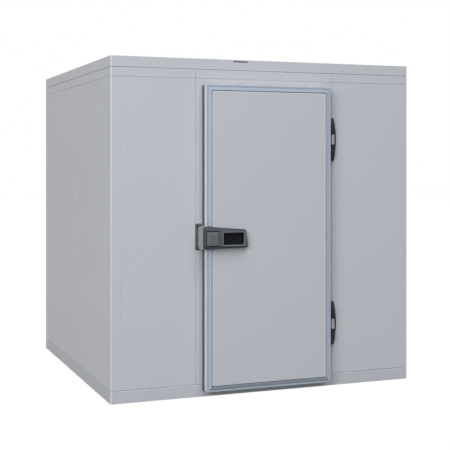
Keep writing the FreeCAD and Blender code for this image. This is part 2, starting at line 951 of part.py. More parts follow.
def hinge_knuckle(label, height):
    """The barrel that turns on the pin, with a wing to the plate on the leaf's side."""
    body = new_piece(label)
    sketch = new_sketch(body, "XY_Plane")
    circle(sketch, "0", "0", "$knuckle_radius")
    pad(body, sketch, "2 * $knuckle_half_height", both_ways=True)
    sketch = new_sketch(body, "XY_Plane")
    leaf_side = "-$hinge_axis_side"
    outline(
        sketch,
        [
            (leaf_side, "-$wing_plate_reach - $wing_thick"),
            (leaf_side + " + $wing_plate_thick", "-$wing_plate_reach - $wing_thick"),
            (leaf_side + " + $wing_plate_thick", "-$knuckle_radius"),
            ("0", "-$knuckle_radius"),
            ("0", "-$knuckle_radius + $wing_thick"),
            (leaf_side, "-$knuckle_radius + $wing_thick"),
        ],
    )
    pad(body, sketch, "2 * $knuckle_half_height", both_ways=True)
    sketch = new_sketch(body, "XY_Plane")
    circle(sketch, "0", "0", "$hinge_bore_radius")
    pocket(body, sketch)
    place(body, HINGE_X, HINGE_Y, height)


hinge_base("hinge_upper_base", "$upper_hinge_height")
hinge_base("hinge_lower_base", "$lower_hinge_height")
hinge_knuckle("hinge_upper_knuckle", "$upper_hinge_height")
hinge_knuckle("hinge_lower_knuckle", "$lower_hinge_height")


# Latch: a housing round the leaf's edge, a keeper on the wall and a pull handle on a pivot

PIVOT_X = "-$pivot_left"
PIVOT_Y = "-$pivot_out"


def latch_housing():
    """A moulding that wraps the leaf's edge: bowed sides, two lugs that hold the pivot pin, a
    cheek that hides the pin from the side, and a room at the back for the keeper."""
    body = new_piece("latch_housing")
    sketch = new_sketch(body, "YZ_Plane", "-$housing_left")
    tall = "$housing_half_height"
    bow = "(" + tall + " - $housing_bow_drop)"
    low = "(" + tall + " - $housing_end_drop)"
    outline(
        sketch,
        [
            ("-$housing_plate", "-" + tall),
            ("$housing_bow_start", "-" + tall, "$housing_bow_out", "-" + bow),
            ("$housing_back", "-" + low),
            ("$housing_back", low, "$housing_bow_out", bow),
            ("$housing_bow_start", tall),
            ("-$housing_plate", tall),
        ],
    )
    pad(body, sketch, "$housing_left")
    sketch = new_sketch(body, "XZ_Plane", "$edge_rise")
    rectangle(sketch, "-$housing_left", "-" + tall, "$housing_right", tall)
    pad(body, sketch, "$housing_plate - $edge_rise")
    for start in (tall + " - $lug_thick", "-" + tall):
        sketch = new_sketch(body, "XY_Plane", start)
        circle(sketch, PIVOT_X, PIVOT_Y, "$lug_radius")
        pad(body, sketch, "$lug_thick")
        sketch = new_sketch(body, "XY_Plane", start)
        rectangle(
            sketch,
            PIVOT_X + " - $lug_radius",
            PIVOT_Y,
            PIVOT_X + " + $lug_radius",
            "-$housing_plate / 2",
        )
        pad(body, sketch, "$lug_thick")
    sketch = new_sketch(body, "XY_Plane")
    rectangle(
        sketch,
        "-$housing_left",
        "-$cheek_reach",
        "-$housing_left + $cheek_thick",
        "-$housing_plate / 2",
    )
    pad(body, sketch, "2 * " + tall, both_ways=True)
    sketch = new_sketch(body, "XY_Plane", "-" + tall)
    circle(sketch, PIVOT_X, PIVOT_Y, "$pivot_pin_radius")
    pad(body, sketch, "2 * " + tall)
    sketch = new_sketch(body, "XZ_Plane", "-$housing_back")
    room = "$keeper_room_half_height"
    rectangle(
        sketch,
        "-$keeper_room_left",
        "-" + room,
        "-$keeper_room_left + $keeper_room_width",
        room,
    )
    pocket(body, sketch, "$keeper_room_depth", reverse=True)
    place(body, LEAF_LEFT, LEAF_FRONT, "$latch_height")


latch_housing()


def strike_plate():
    """The keeper's plate on the wall, with two round wells for its screws and the keeper."""
    body = new_piece("strike_plate")
    sketch = new_sketch(body, "XZ_Plane")
    rectangle(sketch, "-$strike_left", "-$strike_bottom", "-$strike_right", "$strike_top")
    shape = pad(body, sketch, "$strike_thick")
    shape = fillet(
        body,
        shape,
        lambda middle, run: abs(run.x) < SNUG and abs(run.z) < SNUG,
        "$strike_corner",
    )
    chamfer(
        body,
        shape,
        lambda middle, run: near(middle.y, "-$strike_thick"),
        "$strike_bevel",
    )
    sketch = new_sketch(body, "XZ_Plane", "$strike_thick")
    for height in ("$strike_screw_height", "-$strike_screw_height"):
        circle(sketch, "-$strike_screw_side", height, "$strike_screw_radius")
    pocket(body, sketch, "$strike_screw_depth")
    sketch = new_sketch(body, "XZ_Plane")
    tall = "$keeper_half_height"
    rectangle(sketch, "-$keeper_left", "-" + tall, "-$keeper_left + $keeper_width", tall)
    pad(body, sketch, "$keeper_reach")
    place(body, LEAF_LEFT, FRONT, "$latch_height")


strike_plate()


def pull_handle():
    """The dark front of the lever: a tapered outline, bevelled all round, with a deep grip."""
    body = new_piece("pull_handle")
    front = [
        ("-$handle_left", "-$handle_bottom"),
        ("$handle_shoulder", "-$handle_bottom"),
        ("$handle_bend", "-$handle_bend_bottom"),
        ("$handle_right", "-$handle_end_bottom"),
        ("$handle_right - $handle_slant", "$handle_end_top"),
        ("$handle_bend", "$handle_bend_top"),
        ("$handle_shoulder", "$handle_top"),
        ("-$handle_left", "$handle_top"),
    ]
    sketch = new_sketch(body, "XZ_Plane", "$handle_back")
    outline(sketch, front)
    shape = pad(body, sketch, "$handle_front - $handle_back")
    shape = fillet(
        body,
        shape,
        lambda middle, run: abs(run.x) < SNUG
        and abs(run.z) < SNUG
        and not near(middle.x, "$handle_shoulder")
        and not near(middle.x, "$handle_bend"),
        "$handle_corner",
    )
    chamfer(
        body,
        shape,
        lambda middle, run: near(middle.y, "-$handle_front"),
        "$handle_bevel",
    )
    sketch = new_sketch(body, "XY_Plane")
    back = "-($handle_front - $handle_plate_thick)"
    room = "$pivot_radius + $cap_gap"
    rectangle(sketch, "-2 * $handle_left", back, PIVOT_X + " + " + room, "0")
    pocket(body, sketch)
    sketch = new_sketch(body, "XZ_Plane", "$handle_front")
    rectangle(sketch, "$grip_left", "-$grip_bottom", "$grip_right", "$grip_top")
    shape = pocket(body, sketch, "$grip_depth")
    chamfer(
        body,
        shape,
        lambda middle, run: near(middle.y, "-$handle_front")
        and worth("$grip_left") - SNUG < middle.x < worth("$grip_right") + SNUG
        and worth("-$grip_bottom") - SNUG < middle.z < worth("$grip_top") + SNUG,
        "$grip_bevel",
    )
    sketch = new_sketch(body, "XZ_Plane", "$handle_front")
    rectangle(
        sketch, "-$lock_well_left", "-$lock_well_bottom", "$lock_well_right", "$lock_well_top"
    )
    pocket(body, sketch, "$lock_well_depth")
    place(body, LEAF_LEFT, LEAF_FRONT, "$latch_height")


pull_handle()


def handle_end_cap():
    """The pale barrel that turns on the pivot pin and closes the lever's left end."""
    body = new_piece("handle_end_cap")
    tall = "2 * $pivot_half_height"
    sketch = new_sketch(body, "XY_Plane")
    circle(sketch, PIVOT_X, PIVOT_Y, "$pivot_radius")
    pad(body, sketch, tall, both_ways=True)
    sketch = new_sketch(body, "XY_Plane")
    rectangle(
        sketch,
        PIVOT_X + " - $pivot_radius",
        "-$handle_front + $handle_plate_thick",
        PIVOT_X + " + $pivot_radius",
        PIVOT_Y,
    )
    pad(body, sketch, tall, both_ways=True)
    sketch = new_sketch(body, "XY_Plane")
    circle(sketch, PIVOT_X, PIVOT_Y, "$pivot_bore_radius")
    pocket(body, sketch)
    place(body, LEAF_LEFT, LEAF_FRONT, "$latch_height")


handle_end_cap()


def lock_cover():
    """A stepped plate that fills the well beside the grip, with a gap all round."""
    body = new_piece("lock_cover")
    sketch = new_sketch(body, "XZ_Plane", "$handle_front - $lock_well_depth")
    rectangle(sketch, "-$lock_left", "-$lock_bottom", "$lock_right", "$lock_top")
    shape = pad(body, sketch, "$lock_well_depth + $lock_rise")
    chamfer(
        body,
        shape,
        lambda middle, run: near(middle.y, "-$handle_front - $lock_rise"),
        "$lock_bevel",
    )
    sketch = new_sketch(body, "XZ_Plane", "$handle_front + $lock_rise")
    rectangle(
        sketch,
        "-$lock_left + $lock_border",
        "-$lock_bottom + $lock_border / 2",
        "$lock_right - $lock_border / 2",
        "$lock_top - $lock_border",
    )
    shape = pad(body, sketch, "$lock_step")
    chamfer(
        body,
        shape,
        lambda middle, run: near(middle.y, "-$handle_front - $lock_rise - $lock_step"),
        "$lock_bevel",
    )
    place(body, LEAF_LEFT, LEAF_FRONT, "$latch_height")


lock_cover()


def release_knob():
    """The knob on the inner side of the leaf that opens the latch from inside the room."""
    body = new_piece("release_knob")
    sketch = new_sketch(body, "XY_Plane")
    outline(
        sketch,
        [
            ("0", "0"),
            ("$release_plate_radius", "0"),
            ("$release_plate_radius", "$release_plate_thick"),
            ("$release_stem_radius", "$release_plate_thick"),
            ("$release_stem_radius", "$release_stem_length"),
            ("$release_knob_radius", "$release_stem_length"),
            ("$release_knob_radius", "$release_knob_length"),
            ("0", "$release_knob_length"),
        ],
    )
    turned = body.newObject("PartDesign::Revolution", "Revolution")
    turned.Profile = sketch
    turned.ReferenceAxis = (sketch, ["V_Axis"])
    turned.Angle = 360
    document.recompute()
    place(
        body,
        LEAF_LEFT + " + $release_from_edge",
        LEAF_FRONT + " + $leaf_thick - $back_step",
        "$latch_height",
    )


release_knob()


# Every object has to be sound before the pieces are written

document.recompute()
for item in document.Objects:
    if "Invalid" in item.State or "Error" in item.State:
        holder = item.getParentGeoFeatureGroup()
        owner = holder.Label if holder else "document"
        raise RuntimeError(owner + " " + item.Label + " failed: " + str(item.State))
for piece in pieces:
    if piece.Shape.isNull() or not piece.Shape.isValid():
        raise RuntimeError(piece.Label + " has no sound shape")

os.makedirs("parts", exist_ok=True)
for piece in pieces:
    piece.Shape.exportStep("parts/%s.step" % piece.Label)
print("%d pieces written" % len(pieces))
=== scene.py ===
import math

import bpy
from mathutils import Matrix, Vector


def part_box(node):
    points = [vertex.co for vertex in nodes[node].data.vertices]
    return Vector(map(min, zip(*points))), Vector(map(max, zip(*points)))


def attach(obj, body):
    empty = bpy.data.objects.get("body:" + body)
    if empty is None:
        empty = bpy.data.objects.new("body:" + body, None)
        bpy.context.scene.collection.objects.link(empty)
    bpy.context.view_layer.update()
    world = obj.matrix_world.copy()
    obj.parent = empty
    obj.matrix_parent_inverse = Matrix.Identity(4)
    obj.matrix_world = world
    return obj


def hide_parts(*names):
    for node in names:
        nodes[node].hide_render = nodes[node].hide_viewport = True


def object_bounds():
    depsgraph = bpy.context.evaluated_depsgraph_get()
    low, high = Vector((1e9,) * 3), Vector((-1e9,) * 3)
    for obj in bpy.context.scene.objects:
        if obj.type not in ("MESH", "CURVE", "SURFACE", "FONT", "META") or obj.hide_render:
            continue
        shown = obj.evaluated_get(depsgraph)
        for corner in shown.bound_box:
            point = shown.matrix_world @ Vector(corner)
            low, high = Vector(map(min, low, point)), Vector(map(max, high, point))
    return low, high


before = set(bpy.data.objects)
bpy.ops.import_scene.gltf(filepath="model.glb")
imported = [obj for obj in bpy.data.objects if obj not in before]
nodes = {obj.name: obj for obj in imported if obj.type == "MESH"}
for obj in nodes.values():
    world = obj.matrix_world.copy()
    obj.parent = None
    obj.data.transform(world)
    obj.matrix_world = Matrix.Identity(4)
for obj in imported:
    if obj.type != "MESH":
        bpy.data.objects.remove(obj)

cad_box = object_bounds()

# Camera: at eye height, left of the room, level and turned to the right.
# The lens and the shifts place the room in a square picture of 450 by 450 pixels.
PICTURE = 450
EYE = (-2.6878, -7.4450, 1.5426)
TURN_RIGHT = math.radians(21.633)
FOCAL_PIXELS = 1036.5
MIDDLE_X = 244.97
HORIZON_Y = 159.66
bpy.ops.object.camera_add(location=EYE, rotation=(math.radians(90), 0, -TURN_RIGHT))
camera = bpy.context.object
camera.data.sensor_width = 36
camera.data.lens = FOCAL_PIXELS * camera.data.sensor_width / PICTURE
camera.data.shift_x = 0.5 - MIDDLE_X / PICTURE
camera.data.shift_y = HORIZON_Y / PICTURE - 0.5
bpy.context.scene.camera = camera
bpy.context.scene.view_settings.view_transform = "Standard"


# Studio: a broad soft lamp on the left, a far one high in front, one behind, and a pale sky.
# What the lens sees past the room is white; the floor lets a little of the shadow through.
SKY_LIGHT = 0.168
FLOOR_SIZE = 80
FLOOR_SUNK = 0.0006
FLOOR_GREY = (0.2, 0.2, 0.205, 1)
FLOOR_GLOW = 1.17
SHADOW_SHARE = 0.16
WALL_AIM = (0, -0.8, 1.1)
ROOM_AIM = (0, 0, 1.1)


def seen_by_lens(links, tree_nodes):
    """1 where the lens, a reflection or clear glass looks at the surface, 0 for plain light."""
    path = tree_nodes.new("ShaderNodeLightPath")
    either = tree_nodes.new("ShaderNodeMath")
    either.operation = "MAXIMUM"
    links.new(path.outputs["Is Camera Ray"], either.inputs[0])
    links.new(path.outputs["Is Glossy Ray"], either.inputs[1])
    any_of = tree_nodes.new("ShaderNodeMath")
    any_of.operation = "MAXIMUM"
    links.new(either.outputs[0], any_of.inputs[0])
    links.new(path.outputs["Is Transmission Ray"], any_of.inputs[1])
    return any_of.outputs[0]


sky = bpy.data.worlds.new("pale_sky")
sky.use_nodes = True
bpy.context.scene.world = sky
sky_nodes, sky_links = sky.node_tree.nodes, sky.node_tree.links
background = sky_nodes["Background"]
background.inputs["Color"].default_value = (0.94, 0.965, 1.0, 1)
background.inputs["Strength"].default_value = SKY_LIGHT
white = sky_nodes.new("ShaderNodeBackground")
white.inputs["Color"].default_value = (1, 1, 1, 1)
blend = sky_nodes.new("ShaderNodeMixShader")
sky_links.new(seen_by_lens(sky_links, sky_nodes), blend.inputs["Fac"])
sky_links.new(background.outputs[0], blend.inputs[1])
sky_links.new(white.outputs[0], blend.inputs[2])
sky_links.new(blend.outputs[0], sky_nodes["World Output"].inputs["Surface"])

bpy.ops.mesh.primitive_plane_add(size=FLOOR_SIZE, location=(0, 0, -FLOOR_SUNK))
floor = bpy.context.object
floor.name = "studio_floor"
floor_paint = bpy.data.materials.new("studio_white")
floor_paint.use_nodes = True
floor_nodes, floor_links = floor_paint.node_tree.nodes, floor_paint.node_tree.links
matt = floor_nodes["Principled BSDF"]
matt.inputs["Base Color"].default_value = FLOOR_GREY
matt.inputs["Roughness"].default_value = 0.95
matt.inputs["Specular IOR Level"].default_value = 0.1
glow = floor_nodes.new("ShaderNodeEmission")
glow.inputs["Color"].default_value = (1, 1, 1, 1)
glow.inputs["Strength"].default_value = FLOOR_GLOW
share = floor_nodes.new("ShaderNodeMath")
share.operation = "MULTIPLY"
share.inputs[1].default_value = 1 - SHADOW_SHARE
floor_links.new(seen_by_lens(floor_links, floor_nodes), share.inputs[0])
blend = floor_nodes.new("ShaderNodeMixShader")
floor_links.new(share.outputs[0], blend.inputs["Fac"])
floor_links.new(matt.outputs[0], blend.inputs[1])
floor_links.new(glow.outputs[0], blend.inputs[2])
floor_links.new(blend.outputs[0], floor_nodes["Material Output"].inputs["Surface"])
floor.data.materials.append(floor_paint)


def soft_lamp(name, place, aim, size, power):
    """A square area lamp that looks from its place at the aim."""
    bpy.ops.object.light_add(type="AREA", location=place)
    lamp = bpy.context.object
    lamp.name = name
    away = [a - b for a, b in zip(place, aim)]
    flat = math.hypot(away[0], away[1])
    lamp.rotation_euler = (math.atan2(flat, away[2]), 0, math.atan2(away[0], -away[1]))
    lamp.data.shape = "SQUARE"
    lamp.data.size = size
    lamp.data.energy = power


soft_lamp("lamp_left", (-8.6, -10.6, 5.4), WALL_AIM, 7.8, 1065)
soft_lamp("lamp_high", (0.0, -20.0, 34.0), WALL_AIM, 21.0, 8500)
soft_lamp("lamp_behind", (15.0, 19.0, 16.0), ROOM_AIM, 14.0, 6500)


# Insulated panels: foam boards between two sheets of coated steel, locked edge to edge.
# The coating is a satin pale blue grey with the faint orange peel of coil-coated sheet.
def screen(red, green, blue):
    """A colour as it is read on a screen, from 0 to 255, as the light it stands for."""
    light = [((part / 255 + 0.055) / 1.055) ** 2.4 for part in (red, green, blue)]
    return (*light, 1)


def new_group(name, inputs, outputs):
    """An empty node group with named sockets, each given as (name, kind, value)."""
    group = bpy.data.node_groups.new(name, "ShaderNodeTree")
    for title, kind, value in inputs:
        socket = group.interface.new_socket(title, in_out="INPUT", socket_type=kind)
        socket.default_value = value
    for title, kind in outputs:
        group.interface.new_socket(title, in_out="OUTPUT", socket_type=kind)
    entry = group.nodes.new("NodeGroupInput")
    leave = group.nodes.new("NodeGroupOutput")
    return group, entry, leave


def noise(group, place, scale, detail):
    """The grey value of a noise texture at a place."""
    made = group.nodes.new("ShaderNodeTexNoise")
    made.inputs["Scale"].default_value = scale
    made.inputs["Detail"].default_value = detail
    group.links.new(place, made.inputs["Vector"])
    return made.outputs["Fac"]


def calculate(group, kind, first, second):
    """One arithmetic node, whose two inputs are numbers or other nodes' outputs."""
    made = group.nodes.new("ShaderNodeMath")
    made.operation = kind
    for number, value in enumerate((first, second)):
        if isinstance(value, (int, float)):
            made.inputs[number].default_value = value
        else:
            group.links.new(value, made.inputs[number])
    return made.outputs[0]


def shade_colour(group, colour, factor):
    """The colour times a grey factor, so that it gets lighter or darker but keeps its hue."""
    made = group.nodes.new("ShaderNodeVectorMath")
    made.operation = "SCALE"
    group.links.new(colour, made.inputs[0])
    group.links.new(factor, made.inputs["Scale"])
    return made.outputs[0]


def coated_sheet_group():
    """Coil-coated steel: slow cloudy tone, patches of gloss, orange peel and slight waviness.
    Bent edges that don't face down are paler by the share called EdgeHighlight, a painted
    highlight."""
    group, entry, leave = new_group(
        "coated_sheet",
        [
            ("Colour", "NodeSocketColor", (0.5, 0.5, 0.5, 1)),
            ("Cloud", "NodeSocketFloat", 0.02),
            ("Gloss", "NodeSocketFloat", 0.36),
            ("EdgeHighlight", "NodeSocketFloat", 0.0),
        ],
        [
            ("Colour", "NodeSocketColor"),
            ("Roughness", "NodeSocketFloat"),
            ("Height", "NodeSocketFloat"),
        ],
    )
    place = group.nodes.new("ShaderNodeTexCoord").outputs["Object"]
    cloud = calculate(group, "SUBTRACT", noise(group, place, 1.7, 3), 0.5)
    cloud = calculate(group, "MULTIPLY", cloud, entry.outputs["Cloud"])
    fine = calculate(group, "SUBTRACT", noise(group, place, 90, 2), 0.5)
    fine = calculate(group, "MULTIPLY", fine, 0.025)
    tone = calculate(group, "ADD", calculate(group, "ADD", cloud, fine), 1)
    parts = group.nodes.new("ShaderNodeSeparateXYZ")
    group.links.new(group.nodes.new("ShaderNodeTexCoord").outputs["Normal"], parts.inputs[0])
    squareness = calculate(group, "ABSOLUTE", parts.outputs["X"], 0.0)
    for axis in ("Y", "Z"):
        other = calculate(group, "ABSOLUTE", parts.outputs[axis], 0.0)
        squareness = calculate(group, "MAXIMUM", squareness, other)
    # Painted highlight: bent and rounded faces that don't look down are made paler.
    bent = calculate(group, "LESS_THAN", squareness, 0.99)
    upwards = calculate(group, "GREATER_THAN", parts.outputs["Z"], -0.1)
    bent = calculate(group, "MULTIPLY", bent, upwards)
    paler = calculate(group, "MULTIPLY", bent, entry.outputs["EdgeHighlight"])
    tone = calculate(group, "ADD", tone, paler)
    group.links.new(shade_colour(group, entry.outputs["Colour"], tone), leave.inputs["Colour"])
    patches = calculate(group, "SUBTRACT", noise(group, place, 5, 4), 0.5)
    patches = calculate(group, "MULTIPLY", patches, 0.14)
    gloss = calculate(group, "ADD", patches, entry.outputs["Gloss"])
    group.links.new(gloss, leave.inputs["Roughness"])
    peel = calculate(group, "MULTIPLY", noise(group, place, 420, 2), 0.12)
    wave = calculate(group, "MULTIPLY", noise(group, place, 2.6, 1), 1.6)
    group.links.new(calculate(group, "ADD", peel, wave), leave.inputs["Height"])
    return group


coated_sheet = coated_sheet_group()


def new_material(name, colour, roughness, metallic=0.0, mirrors=0.5):
    """A material with a plain colour. mirrors is how strongly its surface reflects."""
    made = bpy.data.materials.new(name)
    made.use_nodes = True
    shader = made.node_tree.nodes["Principled BSDF"]
    shader.inputs["Base Color"].default_value = colour
    shader.inputs["Roughness"].default_value = roughness
    shader.inputs["Metallic"].default_value = metallic
    shader.inputs["Specular IOR Level"].default_value = mirrors
    return made


def finish_with(made, group, values, bump, depth):
    """Lays a group's colour, roughness and height on a material's shader."""
    tree = made.node_tree
    shader = tree.nodes["Principled BSDF"]
    laid = tree.nodes.new("ShaderNodeGroup")
    laid.node_tree = group
    for title, value in values.items():
        laid.inputs[title].default_value = value
    laid.inputs["Colour"].default_value = shader.inputs["Base Color"].default_value
    tree.links.new(laid.outputs["Colour"], shader.inputs["Base Color"])
    tree.links.new(laid.outputs["Roughness"], shader.inputs["Roughness"])
    relief = tree.nodes.new("ShaderNodeBump")
    relief.inputs["Strength"].default_value = bump
    relief.inputs["Distance"].default_value = depth
    tree.links.new(laid.outputs["Height"], relief.inputs["Height"])
    tree.links.new(relief.outputs["Normal"], shader.inputs["Normal"])
    return made


def dress(material, *names):
    """Gives CAD pieces a material in place of the plain one they come with."""
    for name in names:
        for place in nodes[name].material_slots:
            place.material = material


# The bent and rounded edges of walls, ceiling and corner posts are paler by a painted highlight.
panel_skin = new_material("panel_skin", screen(189, 192, 198), 0.36)
finish_with(
    panel_skin, coated_sheet, {"Cloud": 0.03, "Gloss": 0.38, "EdgeHighlight": 0.16}, 0.35, 0.0004
)
PANELS = [name for name in nodes if "panel" in name or name.startswith("corner")]
WALLS_AND_CEILING = [name for name in PANELS if not name.startswith("floor")]
dress(panel_skin, *WALLS_AND_CEILING)


# Joint seals: a dark elastic bead lies in the bevelled joint under the ceiling and over the
# floor, and runs round all four walls.
def deselect():
    bpy.ops.object.select_all(action="DESELECT")


def fix_in_place(piece, name):
    """Gives the piece its name, and puts its place, turn and size into its mesh."""
    piece.name = name
    piece.data.name = name
    bpy.ops.object.transform_apply(location=True, rotation=True, scale=True)
    return piece


def mitred_ring(name, middle, width, height, profile, facing, corner=0.0):
    """A frame swept round a rectangle. The profile's points are (inwards from the outer
    edge, outwards along the facing axis), and the loop is grown from one to the next."""
    deselect()
    lying = facing in ("+Z", "-Z")
    axis = (0, 0, 1) if lying else (0, 1, 0)
    sign = 1 if facing[0] == "+" else -1
    first_in, first_out = profile[0]
    start = [m + sign * first_out * a for m, a in zip(middle, axis)]
    turn = (0, 0, 0) if lying else (math.radians(90), 0, 0)
    bpy.ops.mesh.primitive_plane_add(size=1, location=start, rotation=turn)
    ring = bpy.context.object
    ring.scale = (width - 2 * first_in, height - 2 * first_in, 1)
    fix_in_place(ring, name)
    bpy.ops.object.mode_set(mode="EDIT")
    bpy.ops.mesh.select_mode(type="VERT")
    bpy.ops.mesh.select_all(action="SELECT")
    if corner:
        bpy.ops.mesh.bevel(offset=corner, segments=4, affect="VERTICES")
    bpy.ops.mesh.select_all(action="SELECT")
    bpy.ops.mesh.delete(type="ONLY_FACE")
    bpy.ops.mesh.select_all(action="SELECT")
    last_in, last_out = profile[0]
    for inwards, outwards in profile[1:] + profile[:1]:
        step = [sign * (outwards - last_out) * a for a in axis]
        bpy.ops.mesh.extrude_region_move(TRANSFORM_OT_translate={"value": step})
        across = (width - 2 * inwards) / (width - 2 * last_in)
        along = (height - 2 * inwards) / (height - 2 * last_in)
        stretch = (across, along, 1) if lying else (across, 1, along)
        bpy.ops.transform.resize(value=stretch, center_override=middle)
        last_in, last_out = inwards, outwards
    bpy.ops.mesh.select_all(action="SELECT")
    bpy.ops.mesh.remove_doubles(threshold=0.00002)
    bpy.ops.mesh.normals_make_consistent(inside=False)
    bpy.ops.object.mode_set(mode="OBJECT")
    return ring


def belongs(piece, body, material):
    """The piece moves with a body, and has the given material."""
    piece.data.materials.clear()
    piece.data.materials.append(material)
    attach(piece, body)


floor_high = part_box("floor_panel_left")[1]
ceiling_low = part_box("ceiling_panel_front")[0]
ROOM = cad_box[1][0] - cad_box[0][0]
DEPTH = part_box("ceiling_panel_back")[1].y - ceiling_low.y
BEAD_TALL = 0.0026
BEAD_BACK = 0.0018
BEAD_DEEP = 0.006
BEAD_ROUND = 0.0004
BEAD_CORNER = 0.0085
joint_bead = new_material("joint_bead", screen(92, 94, 97), 0.6)
for bead_name, bead_height in (
    ("joint_bead_floor", floor_high.z),
    ("joint_bead_ceiling", ceiling_low.z),
):
    bead = mitred_ring(
        bead_name,
        (0, 0, bead_height - BEAD_TALL / 2),
        ROOM - 2 * BEAD_BACK,
        DEPTH - 2 * BEAD_BACK,
        [(0, BEAD_ROUND), (BEAD_ROUND, 0), (BEAD_DEEP, 0), (BEAD_DEEP, BEAD_TALL),
         (BEAD_ROUND, BEAD_TALL), (0, BEAD_TALL - BEAD_ROUND)],
        "+Z",
        corner=BEAD_CORNER,
    )
    belongs(bead, "root", joint_bead)


# Seam seals: the same bead, thinner, stands in every upright joint between two wall panels.
# Beside the corner posts the joints are closer and their seals paler.
seam_seal = new_material("seam_seal", screen(142, 145, 149), 0.55)
SEAM_WIDE = 0.0044
SEAM_SUNK = 0.0012
SEAM_THICK = 0.001
SEAM_SHORTER = 0.008
SEAM_ROUND = 0.0004


def seam_strips(name, seams, material):
    """One strip for each joint, given as the panel that starts there and the wall it is in."""
    strips = []
    middle = (floor_high.z + ceiling_low.z) / 2
    tall = ceiling_low.z - floor_high.z - SEAM_SHORTER
    for panel, wall in seams:
        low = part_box(panel)[0]
        spot = {
            "front": (low.x, ceiling_low.y + SEAM_SUNK),
            "back": (low.x, -ceiling_low.y - SEAM_SUNK),
            "left": (cad_box[0][0] + SEAM_SUNK, low.y),
            "right": (cad_box[1][0] - SEAM_SUNK, low.y),
        }[wall]
        sizes = (SEAM_WIDE, SEAM_THICK) if wall in ("front", "back") else (SEAM_THICK, SEAM_WIDE)
        deselect()
        bpy.ops.mesh.primitive_cube_add(size=1, location=(*spot, middle))
        bpy.context.object.scale = (*sizes, tall)
        strips.append(fix_in_place(bpy.context.object, "seam_strip"))
    deselect()
    for strip in strips:
        strip.select_set(True)
    bpy.context.view_layer.objects.active = strips[0]
    bpy.ops.object.join()
    joined = fix_in_place(bpy.context.object, name)
    bevel = joined.modifiers.new("round", "BEVEL")
    bevel.width = SEAM_ROUND
    bevel.segments = 1
    bpy.ops.object.modifier_apply(modifier=bevel.name)
    belongs(joined, "root", material)


seam_strips(
    "wall_seam_seals",
    [
        ("door_panel_left", "front"),
        ("front_panel_right", "front"),
        ("left_panel_back", "left"),
        ("right_panel_back", "right"),
        ("back_panel_middle", "back"),
        ("back_panel_right", "back"),
    ],
    seam_seal,
)
corner_seal = new_material("corner_seal", screen(176, 179, 184), 0.5)
seam_strips(
    "corner_seam_seals",
    [
        ("front_panel_left", "front"),
        ("corner_front_right", "front"),
        ("left_panel_front", "left"),
        ("corner_back_left", "left"),
        ("right_panel_front", "right"),
        ("corner_back_right", "right"),
        ("back_panel_left", "back"),
        ("corner_back_right", "back"),
    ],
    corner_seal,
)


# Floor panels: the same foam boards, with a tougher grey sheet as the walking surface. They lie
# on the ground and carry the walls.
# The floor sheet's bent edges that don't look down are paler by a painted highlight.
floor_skin = new_material("floor_skin", screen(184, 187, 193), 0.42)
finish_with(
    floor_skin, coated_sheet, {"Cloud": 0.04, "Gloss": 0.44, "EdgeHighlight": 0.3}, 0.4, 0.0004
)
dress(floor_skin, "floor_panel_left", "floor_panel_right")


# Doorway frame: pale extruded plastic profiles that line the cut-out and lap over the outer
# wall. The head profile has a taller cover above the leaf.
def moulded_grain_group():
    """Moulded or extruded plastic: a fine grain, with slow changes of tone and gloss."""
    group, entry, leave = new_group(
        "moulded_grain",
        [
            ("Colour", "NodeSocketColor", (0.1, 0.1, 0.1, 1)),
            ("Grain", "NodeSocketFloat", 900.0),
            ("Gloss", "NodeSocketFloat", 0.5),
        ],
        [
            ("Colour", "NodeSocketColor"),
            ("Roughness", "NodeSocketFloat"),
            ("Height", "NodeSocketFloat"),
        ],
    )
    place = group.nodes.new("ShaderNodeTexCoord").outputs["Object"]
    slow = calculate(group, "SUBTRACT", noise(group, place, 22, 3), 0.5)
    tone = calculate(group, "ADD", calculate(group, "MULTIPLY", slow, 0.16), 1)
    group.links.new(shade_colour(group, entry.outputs["Colour"], tone), leave.inputs["Colour"])
    sheen = calculate(group, "SUBTRACT", noise(group, place, 60, 3), 0.5)
    sheen = calculate(group, "MULTIPLY", sheen, 0.2)
    group.links.new(
        calculate(group, "ADD", sheen, entry.outputs["Gloss"]), leave.inputs["Roughness"]
    )
    cells = group.nodes.new("ShaderNodeTexVoronoi")
    group.links.new(place, cells.inputs["Vector"])
    group.links.new(entry.outputs["Grain"], cells.inputs["Scale"])
    group.links.new(cells.outputs["Distance"], leave.inputs["Height"])
    return group


moulded_grain = moulded_grain_group()
frame_plastic = new_material("frame_plastic", screen(196, 198, 206), 0.45, mirrors=0.3)
finish_with(frame_plastic, moulded_grain, {"Grain": 600.0, "Gloss": 0.38}, 0.1, 0.0002)
dress(frame_plastic, "door_frame_left", "door_frame_right", "door_frame_head")


